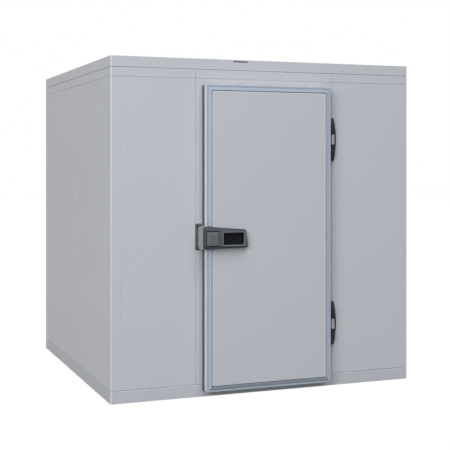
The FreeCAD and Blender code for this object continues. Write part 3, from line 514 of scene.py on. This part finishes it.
# Threshold: one folded stainless sheet, brushed along the doorway. It laps over the floor
# panels' edge and drops a little way down the front.
def brushed_metal_group():
    """Metal with fine lines drawn along one direction, set by how far the pattern is stretched."""
    group, entry, leave = new_group(
        "brushed_metal",
        [
            ("Colour", "NodeSocketColor", (0.5, 0.5, 0.5, 1)),
            ("Stretch", "NodeSocketVector", (1.0, 1.0, 1.0)),
            ("Gloss", "NodeSocketFloat", 0.3),
        ],
        [
            ("Colour", "NodeSocketColor"),
            ("Roughness", "NodeSocketFloat"),
            ("Height", "NodeSocketFloat"),
        ],
    )
    place = group.nodes.new("ShaderNodeTexCoord").outputs["Object"]
    drawn = group.nodes.new("ShaderNodeVectorMath")
    drawn.operation = "MULTIPLY"
    group.links.new(place, drawn.inputs[0])
    group.links.new(entry.outputs["Stretch"], drawn.inputs[1])
    lines = noise(group, drawn.outputs[0], 1.0, 4)
    centred = calculate(group, "SUBTRACT", lines, 0.5)
    tone = calculate(group, "ADD", calculate(group, "MULTIPLY", centred, 0.12), 1)
    group.links.new(shade_colour(group, entry.outputs["Colour"], tone), leave.inputs["Colour"])
    rough = calculate(group, "MULTIPLY", centred, 0.25)
    group.links.new(
        calculate(group, "ADD", rough, entry.outputs["Gloss"]), leave.inputs["Roughness"]
    )
    group.links.new(lines, leave.inputs["Height"])
    return group


brushed_metal = brushed_metal_group()
sill_steel = new_material("sill_steel", screen(190, 191, 193), 0.34, 0.75)
finish_with(
    sill_steel, brushed_metal, {"Stretch": (14.0, 900.0, 900.0), "Gloss": 0.3}, 0.15, 0.0002
)
dress(sill_steel, "door_sill")


# Door leaf: a foamed slab between coated steel sheets. Its outer skin has a rounded rim and
# stands a little proud of the aluminium edge.
# The skin's rounded rim, where it doesn't look down, is paler: a painted highlight.
leaf_skin = new_material("leaf_skin", screen(188, 191, 197), 0.36)
finish_with(leaf_skin, coated_sheet, {"Cloud": 0.03, "Gloss": 0.38, "EdgeHighlight": 0.3}, 0.35, 0.0004)
dress(leaf_skin, "door_leaf")


# Glazing bead: a black rubber strip with a ribbed face, pressed into the gap between the skin
# and the aluminium edge and mitred at its corners. Its black is partly the rubber's own and partly
# painted shade that darkens the gap.
edge_low, edge_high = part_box("leaf_edge_left")
leaf_low = (edge_low.x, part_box("leaf_edge_bottom")[0].z)
leaf_high = (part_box("leaf_edge_right")[1].x, edge_high.z)
LEAF_WIDE = leaf_high[0] - leaf_low[0]
LEAF_TALL = leaf_high[1] - leaf_low[1]
LEAF_MIDDLE = ((leaf_low[0] + leaf_high[0]) / 2, (leaf_low[1] + leaf_high[1]) / 2)
EDGE_FACE = edge_high.x - edge_low.x
SKIN_BEAD_SUNK = 0.012
SKIN_BEAD_LAP = 0.0004
rubber = new_material("gap_rubber", screen(26, 27, 29), 0.65, mirrors=0.1)
finish_with(rubber, moulded_grain, {"Grain": 900.0, "Gloss": 0.65}, 0.2, 0.0002)
skin_bead = mitred_ring(
    "skin_bead",
    (LEAF_MIDDLE[0], edge_low.y + SKIN_BEAD_SUNK, LEAF_MIDDLE[1]),
    LEAF_WIDE - 2 * (EDGE_FACE - SKIN_BEAD_LAP),
    LEAF_TALL - 2 * (EDGE_FACE - SKIN_BEAD_LAP),
    [(0, 0), (0.0048, 0), (0.0048, 0.0062), (0.0034, 0.0072), (0.0024, 0.0066),
     (0.0014, 0.0072), (0, 0.0062)],
    "-Y",
)
belongs(skin_bead, "door", rubber)


# Leaf edge: bluish anodised aluminium extrusions, drawn along their length and mitred. The
# flat outer band is a little darker than the slope; the side is nearly white, a painted highlight,
# and faces that look down are darker, a painted shade.
def facing_light_tones_group():
    """Sorts an extrusion's faces into side, slope and band by how squarely they face forward, and
    gives each its own colour, so light and shade are painted by facing. Faces that look down, or
    lie under the height called ShadeLine, are darker by ShadeBelow, a painted shade."""
    group, entry, leave = new_group(
        "facing_light_tones",
        [
            ("Slope", "NodeSocketColor", (0.4, 0.5, 0.6, 1)),
            ("Band", "NodeSocketColor", (0.3, 0.4, 0.5, 1)),
            ("Side", "NodeSocketColor", (0.8, 0.8, 0.8, 1)),
            ("ShadeBelow", "NodeSocketFloat", 1.0),
            ("ShadeLine", "NodeSocketFloat", -10.0),
        ],
        [("Colour", "NodeSocketColor")],
    )
    parts = group.nodes.new("ShaderNodeSeparateXYZ")
    group.links.new(group.nodes.new("ShaderNodeTexCoord").outputs["Normal"], parts.inputs[0])
    forward = calculate(group, "ABSOLUTE", parts.outputs["Y"], 0.0)
    facing = calculate(group, "GREATER_THAN", forward, 0.5)
    square = calculate(group, "GREATER_THAN", forward, 0.985)
    front = group.nodes.new("ShaderNodeMix")
    front.data_type = "RGBA"
    group.links.new(square, front.inputs[0])
    group.links.new(entry.outputs["Slope"], front.inputs[6])
    group.links.new(entry.outputs["Band"], front.inputs[7])
    whole = group.nodes.new("ShaderNodeMix")
    whole.data_type = "RGBA"
    group.links.new(facing, whole.inputs[0])
    group.links.new(entry.outputs["Side"], whole.inputs[6])
    group.links.new(front.outputs[2], whole.inputs[7])
    # Painted shade: faces that look down, and the part below ShadeLine, are darkened.
    under = calculate(group, "LESS_THAN", parts.outputs["Z"], -0.1)
    place = group.nodes.new("ShaderNodeSeparateXYZ")
    group.links.new(group.nodes.new("ShaderNodeTexCoord").outputs["Object"], place.inputs[0])
    depth = calculate(group, "SUBTRACT", entry.outputs["ShadeLine"], place.outputs["Z"])
    depth = calculate(group, "MULTIPLY", depth, 100.0)
    depth.node.use_clamp = True
    under = calculate(group, "MAXIMUM", under, depth)
    loss = calculate(group, "SUBTRACT", 1.0, entry.outputs["ShadeBelow"])
    share = calculate(group, "SUBTRACT", 1.0, calculate(group, "MULTIPLY", under, loss))
    group.links.new(shade_colour(group, whole.outputs[2], share), leave.inputs["Colour"])
    return group


facing_light_tones = facing_light_tones_group()


def tone_under(made, tones, values):
    """Feeds a tone group's colour into the finish group that a material already has."""
    tree = made.node_tree
    finish = [node for node in tree.nodes if node.type == "GROUP"][0]
    laid = tree.nodes.new("ShaderNodeGroup")
    laid.node_tree = tones
    for title, value in values.items():
        laid.inputs[title].default_value = value
    tree.links.new(laid.outputs["Colour"], finish.inputs["Colour"])


def edge_aluminium(name, stretch, *pieces):
    """Anodised aluminium, drawn along the axis whose stretch is small."""
    made = new_material(name, screen(176, 187, 201), 0.42, 0.3)
    finish_with(made, brushed_metal, {"Stretch": stretch, "Gloss": 0.42}, 0.1, 0.0002)
    # Colours by facing: the near-white side is a painted highlight, downward faces painted shade.
    tone_under(
        made,
        facing_light_tones,
        {
            "Slope": screen(159, 170, 185),
            "Band": screen(154, 165, 180),
            "Side": screen(237, 240, 245),
            "ShadeBelow": 0.6,
        },
    )
    dress(made, *pieces)


edge_aluminium("edge_aluminium_up", (700.0, 700.0, 9.0), "leaf_edge_left", "leaf_edge_right")
edge_aluminium("edge_aluminium_across", (9.0, 700.0, 700.0), "leaf_edge_top", "leaf_edge_bottom")


# Seal carrier and gasket: a dark plastic channel round the leaf's back holds a soft grey
# bellows seal that is pressed into it, mitred and welded at its corners. A lip spreads from
# the seal's outer edge on to the doorway frame; it is partly the gasket's own lip and partly a
# grey sheet that puts painted shade into the crease between the leaf and the frame.
carrier_plastic = new_material("carrier_plastic", screen(74, 75, 79), 0.5, mirrors=0.2)
finish_with(carrier_plastic, moulded_grain, {"Grain": 700.0, "Gloss": 0.5}, 0.15, 0.0002)
dress(carrier_plastic, "seal_carrier")
gasket_rubber = new_material("gasket_rubber", screen(94, 95, 99), 0.6, mirrors=0.2)
finish_with(gasket_rubber, moulded_grain, {"Grain": 900.0, "Gloss": 0.62}, 0.2, 0.0002)
gasket_low, gasket_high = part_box("door_gasket")
# The lip's grey sheet in the crease beside the leaf is partly painted shade.
SEAL_SHADE_LIP = [(-0.0094, 0.0014), (-0.0112, 0.0026), (-0.0186, 0.0066), (-0.019, 0.0078),
            (-0.0168, 0.0078), (-0.0096, 0.0038), (-0.008, 0.0028)]
SEAL_BELLOWS = [(0, 0.0026), (0.0022, 0.0034), (0.0022, 0.0042), (0.0004, 0.0052),
                (0.0006, 0.0066), (0.0026, 0.0078), (0.0134, 0.0078), (0.0154, 0.0066),
                (0.0156, 0.0052), (0.0138, 0.0042), (0.0138, 0.0034), (0.016, 0.0026),
                (0.016, 0.0012), (0.014, 0)]
bellows = mitred_ring(
    "bellows_seal",
    (LEAF_MIDDLE[0], gasket_low.y, LEAF_MIDDLE[1]),
    gasket_high.x - gasket_low.x,
    gasket_high.z - gasket_low.z,
    [(0.002, 0), (0, 0.0012)] + SEAL_SHADE_LIP + SEAL_BELLOWS,
    "+Y",
)
belongs(bellows, "door", gasket_rubber)
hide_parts("door_gasket")


# Screws: stainless pan heads with a hexagon socket, modelled once and copied. Two rows hold the
# doorway frame and one holds the threshold; the hinges, keeper and release have their own.
screw_steel = new_material("screw_steel", screen(196, 197, 198), 0.28, 1.0)
finish_with(
    screw_steel, brushed_metal, {"Stretch": (600.0, 600.0, 600.0), "Gloss": 0.28}, 0.1, 0.0001
)
black_steel = new_material("black_steel", screen(58, 60, 63), 0.4, 0.8)
finish_with(
    black_steel, brushed_metal, {"Stretch": (600.0, 600.0, 600.0), "Gloss": 0.4}, 0.1, 0.0001
)
HEAD_RADIUS = 0.0045
HEAD_TALL = 0.0016
HEAD_ROUND = 0.0007
SOCKET_RADIUS = 0.00225


def edit_faces(piece, test):
    """Opens the piece in edit mode with only the faces selected that pass the test."""
    bpy.context.view_layer.objects.active = piece
    bpy.ops.object.mode_set(mode="EDIT")
    bpy.ops.mesh.select_mode(type="FACE")
    bpy.ops.mesh.select_all(action="DESELECT")
    bpy.ops.object.mode_set(mode="OBJECT")
    for face in piece.data.polygons:
        face.select = test(face)
    bpy.ops.object.mode_set(mode="EDIT")


def close_edit(smooth=None):
    bpy.ops.mesh.select_all(action="SELECT")
    bpy.ops.mesh.normals_make_consistent(inside=False)
    bpy.ops.object.mode_set(mode="OBJECT")
    if smooth:
        bpy.ops.object.shade_smooth_by_angle(angle=math.radians(smooth))


def soften(piece, width, segments=2, angle=30):
    """Rounds every sharp edge with a bevel, and applies it."""
    bevel = piece.modifiers.new("soften", "BEVEL")
    bevel.width = width
    bevel.segments = segments
    bevel.limit_method = "ANGLE"
    bevel.angle_limit = math.radians(angle)
    bpy.context.view_layer.objects.active = piece
    bpy.ops.object.modifier_apply(modifier=bevel.name)


def screw_head():
    """A screw's head that looks along -Y, with its seat at the origin."""
    deselect()
    bpy.ops.mesh.primitive_cylinder_add(
        vertices=24,
        radius=HEAD_RADIUS,
        depth=HEAD_TALL,
        location=(0, -HEAD_TALL / 2, 0),
        rotation=(math.radians(90), 0, 0),
    )
    head = fix_in_place(bpy.context.object, "screw_head")
    edit_faces(head, lambda face: face.normal.y < -0.9)
    bpy.ops.mesh.bevel(offset=HEAD_ROUND, segments=3, affect="EDGES")
    bpy.ops.object.mode_set(mode="OBJECT")
    deselect()
    bpy.ops.mesh.primitive_cylinder_add(
        vertices=6,
        radius=SOCKET_RADIUS,
        depth=HEAD_TALL,
        location=(0, -HEAD_TALL * 1.1, 0),
        rotation=(math.radians(90), 0, 0),
    )
    socket = bpy.context.object
    cut = head.modifiers.new("socket", "BOOLEAN")
    cut.object = socket
    bpy.context.view_layer.objects.active = head
    bpy.ops.object.modifier_apply(modifier=cut.name)
    bpy.data.objects.remove(socket)
    return head


first_head = screw_head()


def screws(name, body, places, turn=(0, 0, 0), metal=None):
    """Copies of the screw's head, each with its own mesh, joined into one piece."""
    copies = []
    for place in places:
        copy = first_head.copy()
        copy.data = first_head.data.copy()
        bpy.context.scene.collection.objects.link(copy)
        copy.rotation_euler = [math.radians(part) for part in turn]
        copy.location = place
        copies.append(copy)
    deselect()
    for copy in copies:
        copy.select_set(True)
    bpy.context.view_layer.objects.active = copies[0]
    bpy.ops.object.join()
    piece = fix_in_place(bpy.context.object, name)
    bpy.ops.object.shade_smooth_by_angle(angle=math.radians(35))
    belongs(piece, body, metal or screw_steel)
    return piece


frame_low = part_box("door_frame_left")[0]
right_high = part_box("door_frame_right")[1]
FLANGE_FRONT = frame_low.y
FLANGE_SCREW_INSET = 0.011
FLANGE_SCREW_HEIGHTS = (0.22, 0.58, 0.94, 1.30, 1.66, 1.90)
flange_screws = []
for height in FLANGE_SCREW_HEIGHTS:
    for middle in (frame_low.x + FLANGE_SCREW_INSET, right_high.x - FLANGE_SCREW_INSET):
        flange_screws.append((middle, FLANGE_FRONT, height))
screws("frame_screws", "root", flange_screws)
sill_low, sill_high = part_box("door_sill")
tread_screws = []
SILL_SCREW_SHARES = (0.08, 0.36, 0.64, 0.92)
for part in SILL_SCREW_SHARES:
    across = sill_low.x + part * (sill_high.x - sill_low.x)
    tread_screws.append((across, (sill_low.y + sill_high.y) / 2, sill_high.z))
screws("sill_screws", "root", tread_screws, (-90, 0, 0))


# Hinges: black moulded covers over the pin's ends, a satin metal band between them that turns
# with the leaf, and thin nylon washers above and below the band.
hinge_plastic = new_material("hinge_plastic", screen(42, 42, 43), 0.42, mirrors=0.14)
finish_with(hinge_plastic, moulded_grain, {"Grain": 1100.0, "Gloss": 0.42}, 0.25, 0.0002)
dress(hinge_plastic, "hinge_upper_base", "hinge_lower_base")
hinge_metal = new_material("hinge_metal", screen(160, 156, 156), 0.4, 0.7)
finish_with(
    hinge_metal, brushed_metal, {"Stretch": (400.0, 400.0, 60.0), "Gloss": 0.4}, 0.1, 0.0002
)


def wing_tone_group(edge_x):
    """One colour on the band round the pin, another on the wing that reaches to the leaf."""
    group, entry, leave = new_group(
        "wing_tone",
        [
            ("Band", "NodeSocketColor", (0.5, 0.5, 0.5, 1)),
            ("Wing", "NodeSocketColor", (0.1, 0.1, 0.1, 1)),
        ],
        [("Colour", "NodeSocketColor")],
    )
    parts = group.nodes.new("ShaderNodeSeparateXYZ")
    group.links.new(group.nodes.new("ShaderNodeTexCoord").outputs["Object"], parts.inputs[0])
    on_band = calculate(group, "GREATER_THAN", parts.outputs["X"], edge_x)
    tone = group.nodes.new("ShaderNodeMix")
    tone.data_type = "RGBA"
    group.links.new(on_band, tone.inputs[0])
    group.links.new(entry.outputs["Wing"], tone.inputs[6])
    group.links.new(entry.outputs["Band"], tone.inputs[7])
    group.links.new(tone.outputs[2], leave.inputs["Colour"])
    return group


band_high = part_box("hinge_upper_knuckle")[1]
KNUCKLE_RADIUS = 0.015
PIN_X = band_high.x - KNUCKLE_RADIUS
PIN_Y = band_high.y - KNUCKLE_RADIUS
tone_under(
    hinge_metal,
    wing_tone_group(PIN_X - 0.8 * KNUCKLE_RADIUS),
    {"Band": screen(150, 147, 147), "Wing": screen(62, 62, 63)},
)
dress(hinge_metal, "hinge_upper_knuckle", "hinge_lower_knuckle")
nylon = new_material("washer_nylon", screen(205, 205, 200), 0.45)
finish_with(nylon, moulded_grain, {"Grain": 1500.0, "Gloss": 0.45}, 0.1, 0.0001)
WASHER_RADIUS = 0.0128
WASHER_HOLE = 0.0086
WASHER_THICK = 0.0007
WASHER_GAP = 0.00015
WING_SCREW_END = 0.014
WING_SCREW_IN = 0.004
wing_screws = []
for knuckle in ("hinge_upper_knuckle", "hinge_lower_knuckle"):
    low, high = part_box(knuckle)
    washers = []
    for height in (low.z - WASHER_GAP - WASHER_THICK, high.z + WASHER_GAP):
        deselect()
        bpy.ops.mesh.primitive_circle_add(
            vertices=32, radius=WASHER_RADIUS, fill_type="NGON", location=(PIN_X, PIN_Y, height)
        )
        washer = fix_in_place(bpy.context.object, "washer")
        edit_faces(washer, lambda face: True)
        bpy.ops.mesh.inset(thickness=WASHER_RADIUS - WASHER_HOLE)
        bpy.ops.mesh.delete(type="FACE")
        bpy.ops.mesh.select_all(action="SELECT")
        bpy.ops.mesh.extrude_region_move(
            TRANSFORM_OT_translate={"value": (0, 0, WASHER_THICK)}
        )
        close_edit()
        washers.append(washer)
    deselect()
    for washer in washers:
        washer.select_set(True)
    bpy.context.view_layer.objects.active = washers[0]
    bpy.ops.object.join()
    pair = fix_in_place(bpy.context.object, knuckle.replace("knuckle", "washers"))
    belongs(pair, "root", nylon)
    for height in (low.z + WING_SCREW_END, high.z - WING_SCREW_END):
        middle = (low.y + PIN_Y) / 2 - WING_SCREW_IN
        wing_screws.append((low.x + WING_SCREW_IN, middle, height))
screws("wing_screws", "door", wing_screws, (0, 0, 90))


# Keeper: a dark moulded plastic plate on the wall beside the leaf, where the latch catches.
# Two black screws in round wells hold it.
strike_plastic = new_material("strike_plastic", screen(86, 90, 94), 0.42, mirrors=0.25)
finish_with(strike_plastic, moulded_grain, {"Grain": 1000.0, "Gloss": 0.42}, 0.2, 0.0002)
dress(strike_plastic, "strike_plate")
strike_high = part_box("strike_plate")[1]
LATCH_X = leaf_low[0]
HANDLE_RISE = 0.076
WELL_FLOOR_THICK = 0.003
STRIKE_SCREW_LEFT = 0.034
STRIKE_SCREW_UP = 0.072
LATCH_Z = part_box("pull_handle")[1].z - HANDLE_RISE
STRIKE_WELL_FLOOR = strike_high.y - WELL_FLOOR_THICK
screws(
    "strike_screws",
    "root",
    [
        (LATCH_X - STRIKE_SCREW_LEFT, STRIKE_WELL_FLOOR, LATCH_Z + up)
        for up in (STRIKE_SCREW_UP, -STRIKE_SCREW_UP)
    ],
    metal=black_steel,
)


# Latch housing: a grey plastic moulding fixed round the leaf's edge, with two fine ribs down
# its side. The lever's end cap is of the same plastic.
housing_plastic = new_material("housing_plastic", screen(154, 156, 160), 0.4, mirrors=0.35)
finish_with(housing_plastic, moulded_grain, {"Grain": 1000.0, "Gloss": 0.4}, 0.2, 0.0002)
dress(housing_plastic, "latch_housing", "handle_end_cap")


def block(name, low, high):
    """A block between two corners, the start of a shaped piece."""
    deselect()
    middle = [(a + b) / 2 for a, b in zip(low, high)]
    bpy.ops.mesh.primitive_cube_add(size=1, location=middle)
    piece = bpy.context.object
    piece.scale = [b - a for a, b in zip(low, high)]
    return fix_in_place(piece, name)


def join(pieces, name):
    deselect()
    for piece in pieces:
        piece.select_set(True)
    bpy.context.view_layer.objects.active = pieces[0]
    bpy.ops.object.join()
    return fix_in_place(bpy.context.object, name)


housing_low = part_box("latch_housing")[0]
RIB_STARTS = (0.030, 0.048)
RIB_PROUD = 0.0012
RIB_SUNK = 0.001
RIB_WIDE = 0.003
RIB_HALF_TALL = 0.058
RIB_ROUND = 0.0009
ribs = []
for start in RIB_STARTS:
    rib_front = housing_low.y + start
    rib = block(
        "rib",
        (housing_low.x - RIB_PROUD, rib_front, LATCH_Z - RIB_HALF_TALL),
        (housing_low.x + RIB_SUNK, rib_front + RIB_WIDE, LATCH_Z + RIB_HALF_TALL),
    )
    soften(rib, RIB_ROUND)
    ribs.append(rib)
ribs = join(ribs, "housing_ribs")
belongs(ribs, "door", housing_plastic)


# Pull lever: anthracite moulding, paler on its face than on its rounded rim, with a black tub
# for the fingers, a pale lip round the tub and a raised ridge beside the lock cover. The rim's
# darker colour is partly the moulding's own and partly painted shade; the lever's lower part and
# its downward faces are darker as painted shade; the tub's black is partly a dark insert and
# partly painted shade of the recess; the lip's paler colour is partly a painted highlight.
handle_plastic = new_material("handle_plastic", screen(96, 100, 106), 0.36, mirrors=0.25)
finish_with(handle_plastic, moulded_grain, {"Grain": 1200.0, "Gloss": 0.36}, 0.2, 0.0002)
# Rim partly own colour, partly painted shade; the lower part below ShadeLine is painted shade.
rim_tone_and_shade = {
    "Slope": screen(56, 60, 65),
    "Band": screen(84, 88, 94),
    "Side": screen(44, 47, 52),
    "ShadeBelow": 0.36,
    "ShadeLine": LATCH_Z - 0.046,
}
tone_under(handle_plastic, facing_light_tones, rim_tone_and_shade)
dress(handle_plastic, "pull_handle")
lever_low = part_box("pull_handle")[0]
FACE = lever_low.y
GRIP = (LATCH_X + 0.101, LATCH_Z - 0.045, LATCH_X + 0.239, LATCH_Z + 0.031)
TUB_DEEP = 0.0268
TUB_WALL = 0.0016
# The tub's black is partly a dark insert and partly painted shade of the deep recess.
tub_black_and_shade = new_material("tub_black_and_shade", screen(24, 26, 30), 0.4, mirrors=0.06)
finish_with(tub_black_and_shade, moulded_grain, {"Grain": 1300.0, "Gloss": 0.3}, 0.15, 0.0002)
tub = block(
    "grip_tub",
    (GRIP[0] + 0.0003, FACE + 0.0042, GRIP[1] + 0.0003),
    (GRIP[2] - 0.0003, FACE + TUB_DEEP, GRIP[3] - 0.0003),
)
edit_faces(tub, lambda face: face.normal.y < -0.9)
bpy.ops.mesh.inset(thickness=TUB_WALL)
bpy.ops.mesh.extrude_region_move(
    TRANSFORM_OT_translate={"value": (0, TUB_DEEP - 0.0042 - TUB_WALL, 0)}
)
close_edit()
soften(tub, 0.0006)
belongs(tub, "handle", tub_black_and_shade)
# The lip's paler colour is partly a painted highlight on the recess mouth's edges.
lip_plastic = new_material("lip_plastic", screen(104, 108, 114), 0.36, mirrors=0.25)
finish_with(lip_plastic, moulded_grain, {"Grain": 1200.0, "Gloss": 0.34}, 0.2, 0.0002)
lip = mitred_ring(
    "grip_lip",
    ((GRIP[0] + GRIP[2]) / 2, FACE + 0.004, (GRIP[1] + GRIP[3]) / 2),
    GRIP[2] - GRIP[0] + 0.017,
    GRIP[3] - GRIP[1] + 0.017,
    [(0, 0.0035), (0, 0.0046), (0.001, 0.0056), (0.0036, 0.0058), (0.0055, 0.0046),
     (0.0082, 0.0006), (0.0082, 0), (0.006, 0)],
    "-Y",
    corner=0.006,
)
belongs(lip, "handle", lip_plastic)
ridge = block(
    "lever_ridge",
    (LATCH_X + 0.077, FACE - 0.0024, LATCH_Z - 0.057),
    (LATCH_X + 0.089, FACE + 0.002, LATCH_Z + 0.051),
)
soften(ridge, 0.0021, segments=3)
belongs(ridge, "handle", handle_plastic)


# Lock cover: a stepped grey plate with fine lines across it, in a well beside the grip. Its bevels
# are paler as a painted highlight, and its sides and downward faces darker as painted shade. A
# black rubber ring lies round its foot on the well's floor, painted shade in the gap round the
# cover.
lock_plastic = new_material("lock_plastic", screen(94, 98, 105), 0.36, mirrors=0.25)
finish_with(
    lock_plastic, brushed_metal, {"Stretch": (40.0, 800.0, 800.0), "Gloss": 0.34}, 0.1, 0.0002
)
# Painted highlight on the bevels, painted shade on the sides and downward faces.
tone_under(
    lock_plastic,
    facing_light_tones,
    {
        "Slope": screen(128, 131, 137),
        "Band": screen(94, 98, 104),
        "Side": screen(70, 73, 78),
        "ShadeBelow": 0.5,
    },
)
dress(lock_plastic, "lock_cover")
# Painted shade: a black ring on the well's floor darkens the gap round the cover.
lock_well_shade_ring = mitred_ring(
    "lock_well_shade_ring",
    (LATCH_X + 0.023, FACE + 0.005, LATCH_Z - 0.004),
    0.0896,
    0.1016,
    [(0, 0), (0, 0.0012), (0.0005, 0.0016), (0.0066, 0.0016), (0.0066, 0)],
    "-Y",
)
belongs(lock_well_shade_ring, "handle", rubber)


# Inner release: a green plastic push knob with a fluted rim and a round foot, on the back of
# the leaf. Three screws hold its foot.
release_plastic = new_material("release_plastic", screen(52, 142, 88), 0.35)
finish_with(release_plastic, moulded_grain, {"Grain": 1000.0, "Gloss": 0.35}, 0.15, 0.0002)
dress(release_plastic, "release_knob")
knob_low, knob_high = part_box("release_knob")
KNOB_X = (knob_low.x + knob_high.x) / 2
KNOB_Z = (knob_low.z + knob_high.z) / 2
FLUTES = 20
flutes = []
for number in range(FLUTES):
    angle = 2 * math.pi * number / FLUTES
    deselect()
    bpy.ops.mesh.primitive_cylinder_add(
        vertices=10,
        radius=0.0022,
        depth=0.0096,
        location=(
            KNOB_X + 0.0218 * math.cos(angle),
            knob_high.y - 0.006,
            KNOB_Z + 0.0218 * math.sin(angle),
        ),
        rotation=(math.radians(90), 0, 0),
    )
    flute = fix_in_place(bpy.context.object, "flute")
    soften(flute, 0.0007, angle=50)
    flutes.append(flute)
flutes = join(flutes, "release_flutes")
bpy.ops.object.shade_smooth_by_angle(angle=math.radians(40))
belongs(flutes, "door", release_plastic)
screws(
    "release_screws",
    "door",
    [
        (KNOB_X + 0.028 * math.cos(turn), knob_low.y + 0.006, KNOB_Z + 0.028 * math.sin(turn))
        for turn in (math.radians(90), math.radians(210), math.radians(330))
    ],
    (0, 0, 180),
)


# Lock plugs: white plastic caps close the holes through which the hooks in the panels' edges
# are turned. They sit on the inner faces beside each standing joint.
plug_plastic = new_material("plug_plastic", screen(226, 227, 228), 0.4)
finish_with(plug_plastic, moulded_grain, {"Grain": 900.0, "Gloss": 0.4}, 0.1, 0.0001)
PLUG_RADIUS = 0.012
PLUG_TALL = 0.003
PLUG_BACK = 0.045
deselect()
bpy.ops.mesh.primitive_cylinder_add(vertices=32, radius=PLUG_RADIUS, depth=PLUG_TALL)
first_plug = fix_in_place(bpy.context.object, "plug")
edit_faces(first_plug, lambda face: face.normal.z > 0.9)
bpy.ops.mesh.bevel(offset=0.0012, segments=3, affect="EDGES")
bpy.ops.object.mode_set(mode="OBJECT")
edit_faces(first_plug, lambda face: face.normal.z > 0.9)
bpy.ops.mesh.inset(thickness=0.003)
bpy.ops.mesh.extrude_region_move(TRANSFORM_OT_translate={"value": (0, 0, -0.0008)})
close_edit()
left_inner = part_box("left_panel_front")[1].x
right_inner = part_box("right_panel_front")[0].x
front_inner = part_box("front_panel_left")[1].y
back_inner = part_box("back_panel_middle")[0].y
PLUG_HEIGHTS = (0.42, 1.12, 1.82)
plug_spots = []
side_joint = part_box("left_panel_back")[0].y
for height in PLUG_HEIGHTS:
    for along in (side_joint + PLUG_BACK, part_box("left_panel_front")[0].y + PLUG_BACK):
        plug_spots.append(((left_inner, along, height), (0, 90, 0)))
        plug_spots.append(((right_inner, along, height), (0, -90, 0)))
    for name in ("back_panel_left", "back_panel_middle", "back_panel_right"):
        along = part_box(name)[1].x - PLUG_BACK
        plug_spots.append(((along, back_inner, height), (90, 0, 0)))
    for name in ("front_panel_left", "front_panel_right"):
        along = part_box(name)[0].x + PLUG_BACK
        plug_spots.append(((along, front_inner, height), (-90, 0, 0)))
plugs = []
for place, turn in plug_spots:
    copy = first_plug.copy()
    copy.data = first_plug.data.copy()
    bpy.context.scene.collection.objects.link(copy)
    copy.location = place
    copy.rotation_euler = [math.radians(part) for part in turn]
    plugs.append(copy)
plugs = join(plugs, "lock_plugs")
bpy.ops.object.shade_smooth_by_angle(angle=math.radians(35))
belongs(plugs, "root", plug_plastic)
bpy.data.objects.remove(first_plug)
bpy.data.objects.remove(first_head)


# Cable slot: a short opening high in the front of the ceiling, closed by a dark rubber flap.
SLOT = (cad_box[0][0] + 0.831, cad_box[0][0] + 0.931, cad_box[1][2] - 0.015, cad_box[1][2] - 0.008)
flap = block(
    "slot_flap",
    (SLOT[0] + 0.0004, ceiling_low.y + 0.004, SLOT[2] + 0.0003),
    (SLOT[1] - 0.0004, ceiling_low.y + 0.010, SLOT[3] - 0.0003),
)
edit_faces(flap, lambda face: face.normal.y < -0.9)
bpy.ops.mesh.inset(thickness=0.0012)
bpy.ops.mesh.extrude_region_move(TRANSFORM_OT_translate={"value": (0, 0.0025, 0)})
close_edit()
belongs(flap, "root", rubber)
